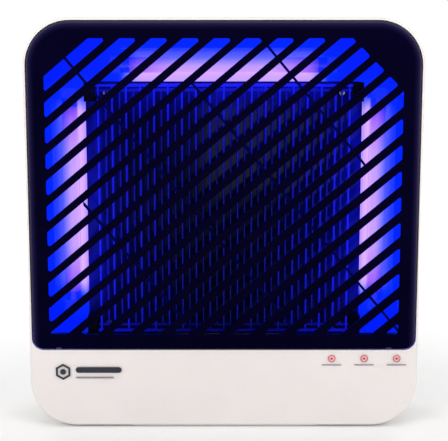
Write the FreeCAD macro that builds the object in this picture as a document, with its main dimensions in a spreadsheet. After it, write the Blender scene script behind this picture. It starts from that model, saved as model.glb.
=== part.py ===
import FreeCAD, Part
import math
import os
import re

import Sketcher
from FreeCAD import Placement, Rotation, Vector

# An electric bug zapper: a white two-part housing that stands on its lower edge or hangs on a wall,
# a black louvred cover hinged along its bottom edge, a high-voltage grid in front of a dark backplate,
# three ultraviolet tubes in trough reflectors round that plate, and a catch tray that drops out below.
# +X is to the right, +Y to the back and +Z up. The origin is under the middle of the feet.

doc = FreeCAD.newDocument("bug_zapper")

# ---------------------------------------------------------------- driving dimensions (mm, degrees)

SIZES = {
    # housing
    "body_width": 397.4,
    "body_height": 414.4,
    "total_depth": 97.0,
    "corner_radius": 47.0,
    "wall": 2.5,
    "edge_round": 3.0,
    "back_round": 6.0,
    "front_shell_depth": 48.0,
    "foot_height": 2.0,
    "foot_radius": 4.0,
    "ledge_width": 14.2,
    "ledge_setback": 0.5,
    "ledge_start": 21.4,
    "shelf_gap": 0.6,
    # louvred cover
    "cover_margin": 3.0,
    "cover_height": 330.8,
    "cover_proud": 4.5,
    "cover_depth": 10.0,
    "cover_top_radius": 44.0,
    "cover_bottom_radius": 12.0,
    "cover_roll": 9.0,
    "cover_gap": 0.5,
    "fitting_root": 0.5,
    "window_side": 17.7,
    "window_top_border": 17.2,
    "window_bottom_border": 15.8,
    "corner_cut": 51.0,
    "slat_angle": 39.9,
    "slat_pitch": 19.9,
    "slot_width": 12.6,
    "slot_phase": 14.6,
    "slot_corner": 2.2,
    "slat_depth": 6.0,
    "cross_rib_pitch": 80.2,
    "cross_rib_shift": 3.3,
    "corner_web": 18.0,
    "cross_rib_width": 2.4,
    "cross_rib_depth": 3.0,
    # hinge, latch and interlock
    "hinge_spread": 169.0,
    "hinge_set_in": 5.5,
    "hinge_rise": 8.4,
    "hinge_pin_radius": 1.25,
    "hinge_play": 0.06,
    "hinge_lug_width": 5.0,
    "hinge_ear_width": 4.0,
    "hinge_side_gap": 0.5,
    "hinge_lug_radius": 2.4,
    "latch_spread": 100.0,
    "latch_width": 10.0,
    "latch_reach": 14.0,
    "latch_play": 0.8,
    "latch_drop": 9.0,
    "tongue_thickness": 2.5,
    "clip_sheet": 0.6,
    "clip_leaf_length": 9.0,
    "clip_foot_height": 5.0,
    "ear_round": 2.6,
    "interlock_drop": 113.4,
    "interlock_set_in": 11.7,
    "plunger_radius": 1.2,
    "plunger_gap": 0.35,
    "plunger_play": 0.3,
    "striker_radius": 3.0,
    "interlock_case_half": 3.2,
    "interlock_case_depth": 10.0,
    "interlock_case_height": 20.0,
    "interlock_tab_spacing": 7.0,
    "tab_thickness": 0.8,
    "tab_length": 6.0,
    # screws and their bosses
    "boss_radius": 5.5,
    "screw_radius": 1.5,
    "screw_head_radius": 2.8,
    "screw_head_height": 1.8,
    "screw_play": 0.2,
    "pilot_play": 0.05,
    "boss_depth": 20.0,
    "sink_depth": 12.0,
    # high-voltage grid
    "wire_count": 37,
    "wire_pitch": 7.0,
    "wire_radius": 1.0,
    "rail_radius": 1.5,
    "rail_overhang": 8.0,
    "grid_height": 250.4,
    "grid_setback": 17.5,
    "grid_gap": 6.0,
    "return_rail_inset": 4.8,
    "insulator_width": 11.0,
    "insulator_margin": 3.2,
    "insulator_inset": 3.0,
    "insulator_foot": 8.0,
    # backplate
    "plate_width": 281.6,
    "plate_height": 262.0,
    "plate_thickness": 2.0,
    "plate_setback": 11.0,
    "plate_drop": 6.1,
    # tubes, lampholders and reflectors
    "tube_radius": 8.0,
    "tube_wall": 0.8,
    "tube_length": 212.0,
    "cap_length": 9.0,
    "contact_radius": 1.15,
    "contact_length": 7.0,
    "contact_spacing": 5.0,
    "tube_margin": 19.2,
    "tube_setback": 16.0,
    "holder_length": 10.0,
    "holder_width": 19.0,
    "trough_floor": 15.0,
    "trough_mouth": 34.0,
    "trough_sheet": 0.8,
    "chassis_thickness": 1.2,
    "chassis_setback": 16.0,
    "chassis_margin": 3.0,
    "chassis_play": 0.5,
    "standoff_radius": 4.0,
    # chute and tray
    "mouth_half": 138.0,
    "mouth_margin": 2.0,
    "chute_outlet_half": 88.0,
    "chute_wall": 1.6,
    "chute_flange": 8.5,
    "chute_clearance": 4.0,
    "tray_half": 94.0,
    "tray_depth": 52.0,
    "tray_height": 47.0,
    "tray_wall": 1.6,
    "tray_play": 1.0,
    "tray_lip": 2.3,
    "tray_lip_thickness": 1.1,
    # vents, mains parts and wall fixing
    "vent_half": 48.0,
    "vent_width": 3.5,
    "vent_pitch": 9.0,
    "keyhole_spacing": 245.0,
    "keyhole_drop": 86.4,
    "keyhole_radius": 4.5,
    "keyhole_slot_radius": 2.3,
    "keyhole_rise": 9.0,
    "inlet_drop": 21.0,
    "inlet_length": 20.4,
    "inlet_height": 14.0,
    "inlet_flange": 36.0,
    "inlet_depth": 19.0,
    "inlet_pin_radius": 1.2,
    "inlet_pin_spacing": 8.6,
    "switch_length": 19.0,
    "switch_height": 13.0,
    "switch_tilt": 8.0,
    "switch_tab_offset": 5.0,
    "switch_recess": 3.6,
    "switch_bezel": 1.2,
    "switch_body_depth": 16.0,
    "switch_well_depth": 7.0,
    "switch_well_wall": 1.4,
    "rocker_play": 1.0,
    "rocker_rise": 1.3,
    "rocker_depth": 5.9,
    "rocker_taper": 2.6,
    "pivot_radius": 0.9,
    "pivot_depth": 0.6,
    "pivot_reach": 0.6,
    "tab_half": 2.4,
    "top_screw_spread": 58.0,
    "bottom_screw_spread": 138.0,
    "post_inset": 20.8,
    "board_thickness": 1.6,
    "ballast_half": 76.0,
    "choke_half": 9.0,
    "choke_height": 14.0,
    "choke_pitch": 48.0,
    "can_radius": 5.0,
    "can_height": 15.0,
    "can_pitch": 35.0,
    "transformer_height": 22.0,
    "coil_height": 8.0,
    "ladder_radius": 4.0,
    "ladder_height": 12.0,
    "ladder_pitch": 13.0,
    "resistor_height": 9.0,
    "terminal_half": 12.0,
    "terminal_height": 16.0,
    "pillar_height": 13.0,
    "pillar_radius": 2.5,
    "wiring_radius": 1.1,
    "wiring_hole_play": 0.6,
}

# Places follow from the driving dimensions: x to the right, y to the back, z up.
PLACES = {
    "half": "body_width / 2",
    "top": "foot_height + body_height",
    "front_y": "-total_depth / 2",
    "back_y": "total_depth / 2",
    "rim_y": "front_y + cover_proud",
    "parting_y": "rim_y + front_shell_depth",
    "back_wall_y": "back_y - wall",
    "cover_back_y": "front_y + cover_depth",
    "ledge_y": "cover_back_y + ledge_setback",
    "cover_half": "half - cover_margin",
    "cover_top": "top - cover_margin",
    "cover_bottom": "cover_top - cover_height",
    "window_half": "cover_half - window_side",
    "window_top": "cover_top - window_top_border",
    "window_bottom": "cover_bottom + window_bottom_border",
    "shelf_top": "cover_bottom - shelf_gap",
    "shelf_bottom": "shelf_top - wall",
    "ledge_bottom": "cover_bottom + ledge_start",
    "ledge_half": "half - wall - ledge_width",
    "hinge_y": "front_y + hinge_set_in",
    "hinge_z": "cover_bottom + hinge_rise",
    "latch_z": "cover_top - latch_drop",
    "interlock_x": "half - interlock_set_in",
    "interlock_z": "cover_top - interlock_drop",
    "keyhole_z": "top - keyhole_drop",
    "inlet_z": "shelf_top - inlet_drop",
    "switch_x": "half - switch_recess",
    "pivot_x": "switch_x - pivot_depth",
    "live_y": "front_y + grid_setback",
    "return_y": "live_y + grid_gap",
    "plate_y": "return_y + plate_setback",
    "plate_back_y": "plate_y + plate_thickness",
    "plate_bottom": "window_bottom - plate_drop",
    "plate_top": "plate_bottom + plate_height",
    "plate_half": "plate_width / 2",
    "live_bottom": "window_bottom + 1.5",
    "live_top": "live_bottom + grid_height",
    "return_bottom": "live_bottom + return_rail_inset",
    "return_top": "live_top - return_rail_inset",
    "grid_half": "wire_pitch * (wire_count - 1) / 2",
    "rail_half": "grid_half + rail_overhang",
    "tube_y": "plate_back_y + tube_setback",
    "chassis_y": "tube_y + chassis_setback",
    "chassis_back_y": "chassis_y + chassis_thickness",
    "tube_x": "plate_half + tube_margin",
    "tube_z": "plate_top + tube_margin - 2.4",
    "side_tube_z": "(plate_bottom + plate_top) / 2 + 8",
    "boss_x": "half - wall - boss_radius + 0.3",
    "low_boss_z": "foot_height + wall + boss_radius - 0.3",
    "high_boss_z": "top - wall - boss_radius + 0.3",
    "mouth_front_y": "rim_y + wall + mouth_margin",
    "chute_top": "shelf_bottom",
    "tray_bottom": "foot_height + 0.6",
    "chute_bottom": "tray_bottom + tray_height + chute_clearance",
    "tray_front_y": "rim_y + wall + 3.5",
    "tray_back_y": "tray_front_y + tray_depth",
    "lip_top": "foot_height - 0.3",
    "inlet_y": "parting_y + 22",
    "inlet_seat": "half - wall",
    "floor_z": "foot_height + wall",
    "deck_z": "floor_z + pillar_height + board_thickness",
    "post_x": "plate_half - post_inset",
    "post_low_z": "plate_bottom + 11.7",
    "post_high_z": "plate_top - 11.2",
    "chassis_half": "half - wall - chassis_margin",
    "chassis_low": "shelf_top + 2",
    "chassis_high": "top - wall - chassis_margin",
    "insulator_low": "grid_half + insulator_inset",
    "insulator_high": "insulator_low + insulator_width",
    "insulator_x": "(insulator_low + insulator_high) / 2",
    "chute_screw_x": "mouth_half + 4.5",
    "chute_screw_y": "plate_y - 8",
    "foot_x": "tray_half + tray_lip + 5.5",
    "foot_front_y": "rim_y + 14",
    "foot_back_y": "back_y - 16.5",
    "board_y": "chassis_back_y + 4",
    "board_low": "top - 236",
    "board_high": "top - 188",
    "parts_y": "board_y + board_thickness",
    "hv_left": "-tray_half - 66",
    "hv_right": "-tray_half - 10",
    "hv_front_y": "rim_y + 10",
    "hv_back_y": "back_wall_y - 14",
    "terminal_x": "tray_half + 22",
    "terminal_z": "floor_z + 13",
    "switch_y": "rim_y + 28",
}


def make_sheet(name, cells):
    sheet = doc.addObject("Spreadsheet::Sheet", name)
    for row, (alias, content) in enumerate(cells.items(), start=1):
        sheet.set(f"A{row}", alias)
        sheet.set(f"B{row}", content)
        sheet.setAlias(f"B{row}", alias)
    return sheet


def formula(text):
    """Spells each named size or place in a formula the way the document refers to it."""
    def spell(match):
        word = match.group(0)
        if word in SIZES:
            return f"Sizes.{word}"
        if word in PLACES:
            return f"Places.{word}"
        return word
    return re.sub(r"[a-z][a-z_]*", spell, str(text))


sizes = make_sheet("Sizes", {alias: str(value) for alias, value in SIZES.items()})
doc.recompute()
places = make_sheet("Places", {alias: f"={formula(text)}" for alias, text in PLACES.items()})
doc.recompute()


def value(name):
    sheet = sizes if name in SIZES else places
    return float(getattr(sheet, name))


def number(text):
    """The present value of a formula."""
    return float(sizes.evalExpression(formula(text)))


def bind(thing, **formulas):
    for prop, text in formulas.items():
        thing.setExpression(prop.replace("__", "."), formula(text))
    return thing


# ---------------------------------------------------------------- solids

nodes = []
AXIS_TURNS = {
    "x": Rotation(Vector(0, 1, 0), 90),
    "y": Rotation(Vector(1, 0, 0), -90),
    "z": Rotation(),
}


def node(thing):
    """Marks a finished sub-part."""
    nodes.append(thing)
    return thing


def block(name, x, y, z):
    """A box between two formulas along each axis."""
    box = doc.addObject("Part::Box", name)
    for prop, axis, (low, high) in zip(("Length", "Width", "Height"), "xyz", (x, y, z)):
        bind(box, **{prop: f"({high}) - ({low})", f"Placement__Base__{axis}": low})
    return box


def rod(name, axis, radius, centre, span):
    """A cylinder along an axis; centre holds the two other coordinates in x, y, z order."""
    cylinder = doc.addObject("Part::Cylinder", name)
    cylinder.Placement = Placement(Vector(), AXIS_TURNS[axis])
    across = [other for other in "xyz" if other != axis]
    low, high = span
    bind(cylinder, Radius=radius, Height=f"({high}) - ({low})")
    bind(cylinder, **{f"Placement__Base__{axis}": low})
    for other, place in zip(across, centre):
        bind(cylinder, **{f"Placement__Base__{other}": place})
    return cylinder


def fuse(name, pieces):
    joined = doc.addObject("Part::MultiFuse", name)
    joined.Shapes = pieces
    joined.Refine = True
    return joined


def cut(name, base, tools):
    tool = tools[0] if len(tools) == 1 else fuse(f"{name}_tools", tools)
    result = doc.addObject("Part::Cut", name)
    result.Base = base
    result.Tool = tool
    return result


def group(name, pieces):
    """Separate identical solids kept in one sub-part."""
    bundle = doc.addObject("Part::Compound", name)
    bundle.Links = pieces
    return bundle


def solid(name, shape):
    """A sub-part, or a cutter, whose shape is worked out from the sheet's values."""
    feature = doc.addObject("Part::Feature", name)
    feature.Shape = shape
    feature.Placement = Placement()
    return feature


def rounded(name, base, radius, chosen):
    """Rounds the chosen edges of a finished object."""
    doc.recompute()
    feature = doc.addObject("Part::Fillet", name)
    feature.Base = base
    size = number(radius)
    feature.Edges = [
        (index, size, size)
        for index, edge in enumerate(base.Shape.Edges, start=1) if chosen(edge)
    ]
    return feature


def screw(name, axis, centre, tip, head, direction=1):
    """A shank from tip to the underside of its head, which stands on the far side."""
    shank_span = (tip, head) if direction > 0 else (head, tip)
    cap_end = f"({head}) + {direction} * screw_head_height"
    cap_span = (head, cap_end) if direction > 0 else (cap_end, head)
    shank = rod(f"{name}_shank", axis, "screw_radius", centre, shank_span)
    cap = rod(f"{name}_cap", axis, "screw_head_radius", centre, cap_span)
    driver = rod(f"{name}_driver", axis, "screw_radius / 2", centre,
                 (f"({cap_end}) - 1", f"({cap_end}) + 1"))
    return cut(name, fuse(f"{name}_blank", [shank, cap]), [driver])


# ---------------------------------------------------------------- sketched bodies

def make_body(name):
    return doc.addObject("PartDesign::Body", name)


def make_sketch(body, name, role, offset):
    """A sketch parallel to one of the body's origin planes, offset along that plane's normal."""
    sketch = body.newObject("Sketcher::SketchObject", name)
    plane = next(item for item in body.Origin.OriginFeatures if item.Role == role)
    sketch.AttachmentSupport = [(plane, "")]
    sketch.MapMode = "FlatFace"
    bind(sketch, AttachmentOffset__Base__z=offset)
    return sketch


def dimension(sketch, name, constraint, text):
    index = sketch.addConstraint(constraint)
    sketch.renameConstraint(index, name)
    bind(sketch, **{f"Constraints__{name}": text})


def rectangle(sketch, tag, u, v, low_radius=None, high_radius=None):
    """A rectangle between formulas u = (left, right) and v = (low, high), with rounded corners if asked:
    low_radius at the two low corners and high_radius at the two high ones."""
    high_radius = high_radius or low_radius
    left, right = (number(text) for text in u)
    low, high = (number(text) for text in v)
    radii = [number(low_radius), number(high_radius)] if low_radius else [0.0, 0.0]
    r_low, r_high = radii

    def line(x1, y1, x2, y2):
        return sketch.addGeometry(Part.LineSegment(Vector(x1, y1, 0), Vector(x2, y2, 0)))

    bottom = line(left + r_low, low, right - r_low, low)
    side_r = line(right, low + r_low, right, high - r_high)
    roof = line(right - r_high, high, left + r_high, high)
    side_l = line(left, high - r_high, left, low + r_low)
    lines = [bottom, side_r, roof, side_l]
    if low_radius:
        corners = [
            (right - r_low, low + r_low, r_low, -90),
            (right - r_high, high - r_high, r_high, 0),
            (left + r_high, high - r_high, r_high, 90),
            (left + r_low, low + r_low, r_low, 180),
        ]
        arcs = []
        for cx, cy, radius, start in corners:
            circle = Part.Circle(Vector(cx, cy, 0), Vector(0, 0, 1), radius)
            arc = Part.ArcOfCircle(circle, math.radians(start), math.radians(start + 90))
            arcs.append(sketch.addGeometry(arc))
        for index in range(4):
            sketch.addConstraint(Sketcher.Constraint("Tangent", lines[index], 2, arcs[index], 1))
            following = lines[(index + 1) % 4]
            sketch.addConstraint(Sketcher.Constraint("Tangent", arcs[index], 2, following, 1))
        sketch.addConstraint(Sketcher.Constraint("Equal", arcs[0], arcs[3]))
        sketch.addConstraint(Sketcher.Constraint("Equal", arcs[1], arcs[2]))
        dimension(sketch, f"{tag}_low_radius", Sketcher.Constraint("Radius", arcs[0], r_low), low_radius)
        dimension(sketch, f"{tag}_high_radius", Sketcher.Constraint("Radius", arcs[1], r_high), high_radius)
    else:
        for index in range(4):
            following = lines[(index + 1) % 4]
            sketch.addConstraint(Sketcher.Constraint("Coincident", lines[index], 2, following, 1))
    for index in (bottom, roof):
        sketch.addConstraint(Sketcher.Constraint("Horizontal", index))
    for index in (side_r, side_l):
        sketch.addConstraint(Sketcher.Constraint("Vertical", index))
    edges = (
        ("left", "DistanceX", side_l, left, u[0]),
        ("right", "DistanceX", side_r, right, u[1]),
        ("low", "DistanceY", bottom, low, v[0]),
        ("high", "DistanceY", roof, high, v[1]),
    )
    for side, kind, geometry, place, text in edges:
        if abs(place) < 1e-9:
            place = 1e-6
        if place < 0:
            constraint = Sketcher.Constraint(kind, geometry, 1, -1, 1, -place)
            text = f"-({text})"
        else:
            constraint = Sketcher.Constraint(kind, -1, 1, geometry, 1, place)
        dimension(sketch, f"{tag}_{side}", constraint, text)


def circle(sketch, tag, centre, radius):
    u, v = (number(text) for text in centre)
    index = sketch.addGeometry(Part.Circle(Vector(u, v, 0), Vector(0, 0, 1), number(radius)))
    dimension(sketch, f"{tag}_radius", Sketcher.Constraint("Radius", index, number(radius)), radius)
    for kind, place, text in (("DistanceX", u, centre[0]), ("DistanceY", v, centre[1])):
        if place < 0:
            constraint = Sketcher.Constraint(kind, index, 3, -1, 1, -place)
            text = f"-({text})"
        else:
            constraint = Sketcher.Constraint(kind, -1, 1, index, 3, place)
        dimension(sketch, f"{tag}_{kind}", constraint, text)


def grow(body, sketch, depth, along=True):
    """Pads a sketch. From a front-facing (XZ) sketch, along=True means towards the back."""
    feature = body.newObject("PartDesign::Pad", f"{sketch.Name}_pad")
    feature.Profile = sketch
    flips = sketch.AttachmentSupport[0][0].Role == "XZ_Plane"
    feature.Reversed = flips if along else not flips
    bind(feature, Length=depth)
    sketch.Visibility = False
    return feature


def carve(body, sketch, depth, along=True):
    """Pockets a sketch. along=True removes material towards +X, +Y or +Z."""
    feature = body.newObject("PartDesign::Pocket", f"{sketch.Name}_pocket")
    feature.Profile = sketch
    flips = sketch.AttachmentSupport[0][0].Role == "XZ_Plane"
    feature.Reversed = not flips if along else flips
    bind(feature, Length=depth)
    sketch.Visibility = False
    return feature


def edges_in_plane(shape, axis, place):
    """Names of the edges that lie wholly in a plane across the given axis."""
    names = []
    for index, edge in enumerate(shape.Edges, start=1):
        box = edge.BoundBox
        low, high = getattr(box, f"{axis}Min"), getattr(box, f"{axis}Max")
        if abs(low - place) < 1e-4 and abs(high - place) < 1e-4:
            names.append(f"Edge{index}")
    return names


def round_edges(body, feature, names, radius):
    doc.recompute()
    fillet = body.newObject("PartDesign::Fillet", f"{feature.Name}_round")
    fillet.Base = (feature, names)
    bind(fillet, Radius=radius)
    return fillet


# ---------------------------------------------------------------- housing

SCREW_PLACES = {
    "left_low": ("-boss_x", "shelf_top + 34"),
    "right_low": ("boss_x", "shelf_top + 34"),
    "left_high": ("-boss_x", "top - 74"),
    "right_high": ("boss_x", "top - 74"),
    "top_left": ("-top_screw_spread", "high_boss_z"),
    "top_right": ("top_screw_spread", "high_boss_z"),
    "bottom_left": ("-bottom_screw_spread", "low_boss_z"),
    "bottom_right": ("bottom_screw_spread", "low_boss_z"),
}
CHASSIS_POSTS = {
    "left_low": ("-post_x", "post_low_z"),
    "right_low": ("post_x", "post_low_z"),
    "left_high": ("-post_x", "post_high_z"),
    "right_high": ("post_x", "post_high_z"),
}

LEAD_HOLES = {
    "live": ("hv_left + 8", "return_y + 13"),
    "return": ("hv_left + 14", "return_y + 19"),
}
SUPPLY_HOLE = ("terminal_x - 16", "chassis_back_y + 13")
TERMINALS = (-15, -5, 5, 15)
TERMINAL_END = 7
SIDES = {"left": "-", "right": ""}


def outline(sketch, tag, inset):
    """The housing's rounded outline, set in by a formula."""
    rectangle(
        sketch, tag,
        (f"-(half - ({inset}))", f"half - ({inset})"),
        (f"foot_height + ({inset})", f"top - ({inset})"),
        f"corner_radius - ({inset})",
    )


def housing_shell(name, front, back, skin_at_front):
    """A tub with one closed face and a compartment shelf."""
    body = make_body(name)
    sketch = make_sketch(body, f"{name}_outline", "XZ_Plane", f"-({front})")
    outline(sketch, "outer", "0")
    pad = grow(body, sketch, f"({back}) - ({front})")
    doc.recompute()
    closed = number(front) if skin_at_front else number(back)
    radius = "edge_round" if skin_at_front else "back_round"
    round_edges(body, pad, edges_in_plane(pad.Shape, "Y", closed), radius)
    hollow = make_sketch(
        body, f"{name}_hollow", "XZ_Plane", f"-({front} + {'wall' if skin_at_front else '0'})"
    )
    outline(hollow, "inner", "wall")
    carve(body, hollow, f"({back}) - ({front}) - wall")
    shelf = make_sketch(body, f"{name}_shelf", "XZ_Plane", f"-({front})")
    rectangle(shelf, "shelf", ("-half + wall / 2", "half - wall / 2"), ("shelf_bottom", "shelf_top"))
    grow(body, shelf, f"({back}) - ({front})")
    return body


def add_bosses(body, name, front, back, pilot, pilot_front, pilot_back):
    """Screw bosses against the walls, with one hole each."""
    posts = make_sketch(body, f"{name}_bosses", "XZ_Plane", f"-({front})")
    for tag, centre in SCREW_PLACES.items():
        circle(posts, tag, centre, "boss_radius")
    grow(body, posts, f"({back}) - ({front})")
    holes = make_sketch(body, f"{name}_holes", "XZ_Plane", f"-({pilot_front})")
    for tag, centre in SCREW_PLACES.items():
        circle(holes, tag, centre, pilot)
    carve(body, holes, f"({pilot_back}) - ({pilot_front})")


def cut_tray_opening(body, name):
    """The hole in the bottom edge that the tray passes through."""
    sketch = make_sketch(body, f"{name}_tray_hole", "XY_Plane", "foot_height - 1")
    rectangle(
        sketch, "tray",
        ("-tray_half - tray_play", "tray_half + tray_play"),
        ("tray_front_y - tray_play", "tray_back_y + tray_play"),
        "3",
    )
    carve(body, sketch, "wall + 2")


def make_front_housing():
    name = "front_housing"
    body = housing_shell(name, "rim_y", "parting_y", True)
    add_bosses(body, name, "parting_y - boss_depth", "parting_y", "screw_radius + pilot_play",
               "parting_y - boss_depth + 2", "parting_y + 1")

    recess = make_sketch(body, "cover_recess", "XZ_Plane", "-(rim_y - 1)")
    rectangle(
        recess, "recess",
        ("-cover_half - cover_gap", "cover_half + cover_gap"),
        ("shelf_top", "cover_top + cover_gap"),
        "cover_bottom_radius + cover_gap", "cover_top_radius + cover_gap",
    )
    carve(body, recess, "wall + 1")

    ledge = make_sketch(body, "cover_ledge", "XZ_Plane", "-ledge_y")
    rectangle(
        ledge, "ledge",
        ("-half + wall / 2", "half - wall / 2"),
        ("ledge_bottom", "top - wall / 2"),
        "1", "corner_radius - wall / 2",
    )
    grow(body, ledge, "wall")
    opening = make_sketch(body, "ledge_opening", "XZ_Plane", "-(ledge_y - 1)")
    rectangle(
        opening, "opening",
        ("-ledge_half", "ledge_half"),
        ("ledge_bottom - 5", "top - wall - ledge_width"),
        "1", "corner_radius - wall - ledge_width",
    )
    carve(body, opening, "wall + 2")

    notches = make_sketch(body, "latch_notches", "XZ_Plane", "-(ledge_y - 1)")
    for tag, side in SIDES.items():
        rectangle(
            notches, tag,
            (f"{side}latch_spread - latch_width / 2 - latch_play",
             f"{side}latch_spread + latch_width / 2 + latch_play"),
            ("latch_z - latch_play", "latch_z + tongue_thickness + latch_play"),
        )
    carve(body, notches, "wall + 2")
    plunger_hole = make_sketch(body, "plunger_hole", "XZ_Plane", "-(ledge_y - 1)")
    circle(plunger_hole, "hole", ("interlock_x", "interlock_z"), "plunger_radius + plunger_play")
    carve(body, plunger_hole, "wall + 2")

    mouth = make_sketch(body, "chute_mouth", "XY_Plane", "shelf_bottom - 1")
    rectangle(mouth, "mouth", ("-mouth_half", "mouth_half"), ("mouth_front_y", "plate_y"), "3")
    carve(body, mouth, "wall + 2")
    cut_tray_opening(body, name)

    # Hinge arms: each reaches forward from a post and carries one pin.
    for tag, side in SIDES.items():
        start = f"{side}hinge_spread - hinge_lug_width / 2"
        post = make_sketch(body, f"hinge_post_{tag}", "YZ_Plane", start)
        rectangle(post, "post", ("hinge_y + 7", "hinge_y + 12"),
                  ("shelf_bottom", "hinge_z + hinge_lug_radius"))
        grow(body, post, "hinge_lug_width")
        arm = make_sketch(body, f"hinge_arm_{tag}", "YZ_Plane", start)
        rectangle(arm, "arm", ("hinge_y - hinge_lug_radius", "hinge_y + 8"),
                  ("hinge_z - hinge_lug_radius", "hinge_z + hinge_lug_radius"),
                  "hinge_lug_radius - 0.01")
        grow(body, arm, "hinge_lug_width")
    bores = make_sketch(body, "hinge_bores", "YZ_Plane", "-hinge_spread - hinge_lug_width")
    circle(bores, "bore", ("hinge_y", "hinge_z"), "hinge_pin_radius")
    carve(body, bores, "2 * hinge_spread + 2 * hinge_lug_width")

    # The switch sits in a recess so that nothing stands proud of the side wall.
    steps = (
        ("switch_seat", 4.5, "switch_x - wall", "switch_recess + wall / 2", grow),
        ("switch_recess_hollow", 1.5, "switch_x", "switch_recess + 1", carve),
        ("switch_cutout", 0.0, "switch_x - wall - 1", "wall + 2", carve),
    )
    for tag, margin, start, depth, action in steps:
        face = make_sketch(body, tag, "YZ_Plane", start)
        rectangle(
            face, "face",
            (f"switch_y - switch_length / 2 - {margin}", f"switch_y + switch_length / 2 + {margin}"),
            (f"inlet_z - switch_height / 2 - {margin}", f"inlet_z + switch_height / 2 + {margin}"),
        )
        action(body, face, depth)

    chute_pilots = make_sketch(body, "chute_pilots", "XY_Plane", "shelf_bottom - 1")
    for tag, side in SIDES.items():
        circle(chute_pilots, tag, (f"{side}chute_screw_x", "chute_screw_y"), "screw_radius + pilot_play")
    carve(body, chute_pilots, "wall + 0.6")
    lead_holes = make_sketch(body, "lead_holes", "XY_Plane", "shelf_bottom - 1")
    for tag, (x, y) in LEAD_HOLES.items():
        circle(lead_holes, tag, (x, y), "wiring_radius + wiring_hole_play")
    carve(body, lead_holes, "wall + 2")
    return node(body)


def make_rear_housing():
    name = "rear_housing"
    body = housing_shell(name, "parting_y", "back_y", False)
    add_bosses(body, name, "parting_y", "back_wall_y + 0.5", "screw_radius + screw_play",
               "parting_y - 1", "back_y + 1")

    sinks = make_sketch(body, "screw_sinks", "XZ_Plane", "-(back_y - sink_depth)")
    for tag, centre in SCREW_PLACES.items():
        circle(sinks, tag, centre, "screw_head_radius + 2 * screw_play")
    carve(body, sinks, "sink_depth + 2")

    posts = make_sketch(body, "chassis_posts", "XZ_Plane", "-chassis_back_y")
    for tag, centre in CHASSIS_POSTS.items():
        circle(posts, tag, centre, "boss_radius")
    grow(body, posts, "back_wall_y + 0.5 - chassis_back_y")
    pilots = make_sketch(body, "chassis_pilots", "XZ_Plane", "-(chassis_back_y - 1)")
    for tag, centre in CHASSIS_POSTS.items():
        circle(pilots, tag, centre, "screw_radius + pilot_play")
    carve(body, pilots, "13")

    # Cooling slots: a low and a high bank of seven.
    for bank, middle in (("low", "shelf_top + 60"), ("high", "top - 150")):
        vents = make_sketch(body, f"{bank}_vents", "XZ_Plane", "-(back_wall_y - 1)")
        for index in range(7):
            rise = f"{middle} + {index - 3} * vent_pitch"
            rectangle(vents, f"vent{index}", ("-vent_half", "vent_half"),
                      (f"{rise} - vent_width / 2", f"{rise} + vent_width / 2"), "vent_width / 2 - 0.05")
        carve(body, vents, "wall + 2")

    # Keyholes: a round entry for the screw's head and a narrow slot above it for its shank.
    entries = make_sketch(body, "keyhole_entries", "XZ_Plane", "-(back_wall_y - 1)")
    slots = make_sketch(body, "keyhole_slots", "XZ_Plane", "-(back_wall_y - 1)")
    for tag, side in SIDES.items():
        middle = f"{side}keyhole_spacing / 2"
        circle(entries, tag, (middle, "keyhole_z"), "keyhole_radius")
        rectangle(
            slots, tag,
            (f"{middle} - keyhole_slot_radius", f"{middle} + keyhole_slot_radius"),
            ("keyhole_z", "keyhole_z + keyhole_rise + keyhole_slot_radius"),
            "keyhole_slot_radius - 0.02",
        )
    carve(body, entries, "wall + 2")
    carve(body, slots, "wall + 2")
    cut_tray_opening(body, name)

    cutout = make_sketch(body, "inlet_cutout", "YZ_Plane", "half - wall - 1")
    rectangle(
        cutout, "cutout",
        ("inlet_y - inlet_length / 2 - 0.3", "inlet_y + inlet_length / 2 + 0.3"),
        ("inlet_z - inlet_height / 2 - 0.3", "inlet_z + inlet_height / 2 + 0.3"),
        "3",
    )
    carve(body, cutout, "wall + 2")
    pilots = make_sketch(body, "inlet_pilots", "YZ_Plane", "half - wall - 1")
    for tag, sign in (("low", "-"), ("high", "+")):
        circle(pilots, tag, (f"inlet_y {sign} (inlet_flange / 2 - 3.6)", "inlet_z"),
               "screw_radius + pilot_play")
    carve(body, pilots, "2.6")
    supply = make_sketch(body, "supply_hole", "XY_Plane", "shelf_bottom - 1")
    circle(supply, "hole", SUPPLY_HOLE, "wiring_radius + wiring_hole_play")
    carve(body, supply, "wall + 2")
    return node(body)


def make_housing_screws():
    screws = [
        screw(f"housing_screw_{tag}", "y", centre, "parting_y - 12", "back_y - sink_depth")
        for tag, centre in SCREW_PLACES.items()
    ]
    node(group("housing_screws", screws))


def make_feet():
    feet = [
        rod(f"foot_{tag}_{depth}", "z", "foot_radius", (f"{side}foot_x", depth), ("0", "foot_height"))
        for tag, side in SIDES.items()
        for depth in ("foot_front_y", "foot_back_y")
    ]
    node(group("rubber_feet", feet))


# ---------------------------------------------------------------- louvred cover

def window_corners():
    """The opening's outline seen from the front, anticlockwise, as (x, z), with the upper right corner
    cut at 45 degrees."""
    half, low, high = value("window_half"), value("window_bottom"), value("window_top")
    cut_size = value("corner_cut")
    return [
        (-half, low),
        (half, low),
        (half, high - cut_size),
        (half - cut_size, high),
        (-half, high),
    ]


def clip(corners, normal, limit):
    """Keeps the part of a convex outline where the normal coordinate is below the limit."""
    kept = []
    for (x1, z1), (x2, z2) in zip(corners, corners[1:] + corners[:1]):
        d1 = x1 * normal[0] + z1 * normal[1] - limit
        d2 = x2 * normal[0] + z2 * normal[1] - limit
        if d1 <= 0:
            kept.append((x1, z1))
        if d1 * d2 < 0:
            share = d1 / (d1 - d2)
            kept.append((x1 + share * (x2 - x1), z1 + share * (z2 - z1)))
    return kept


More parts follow.
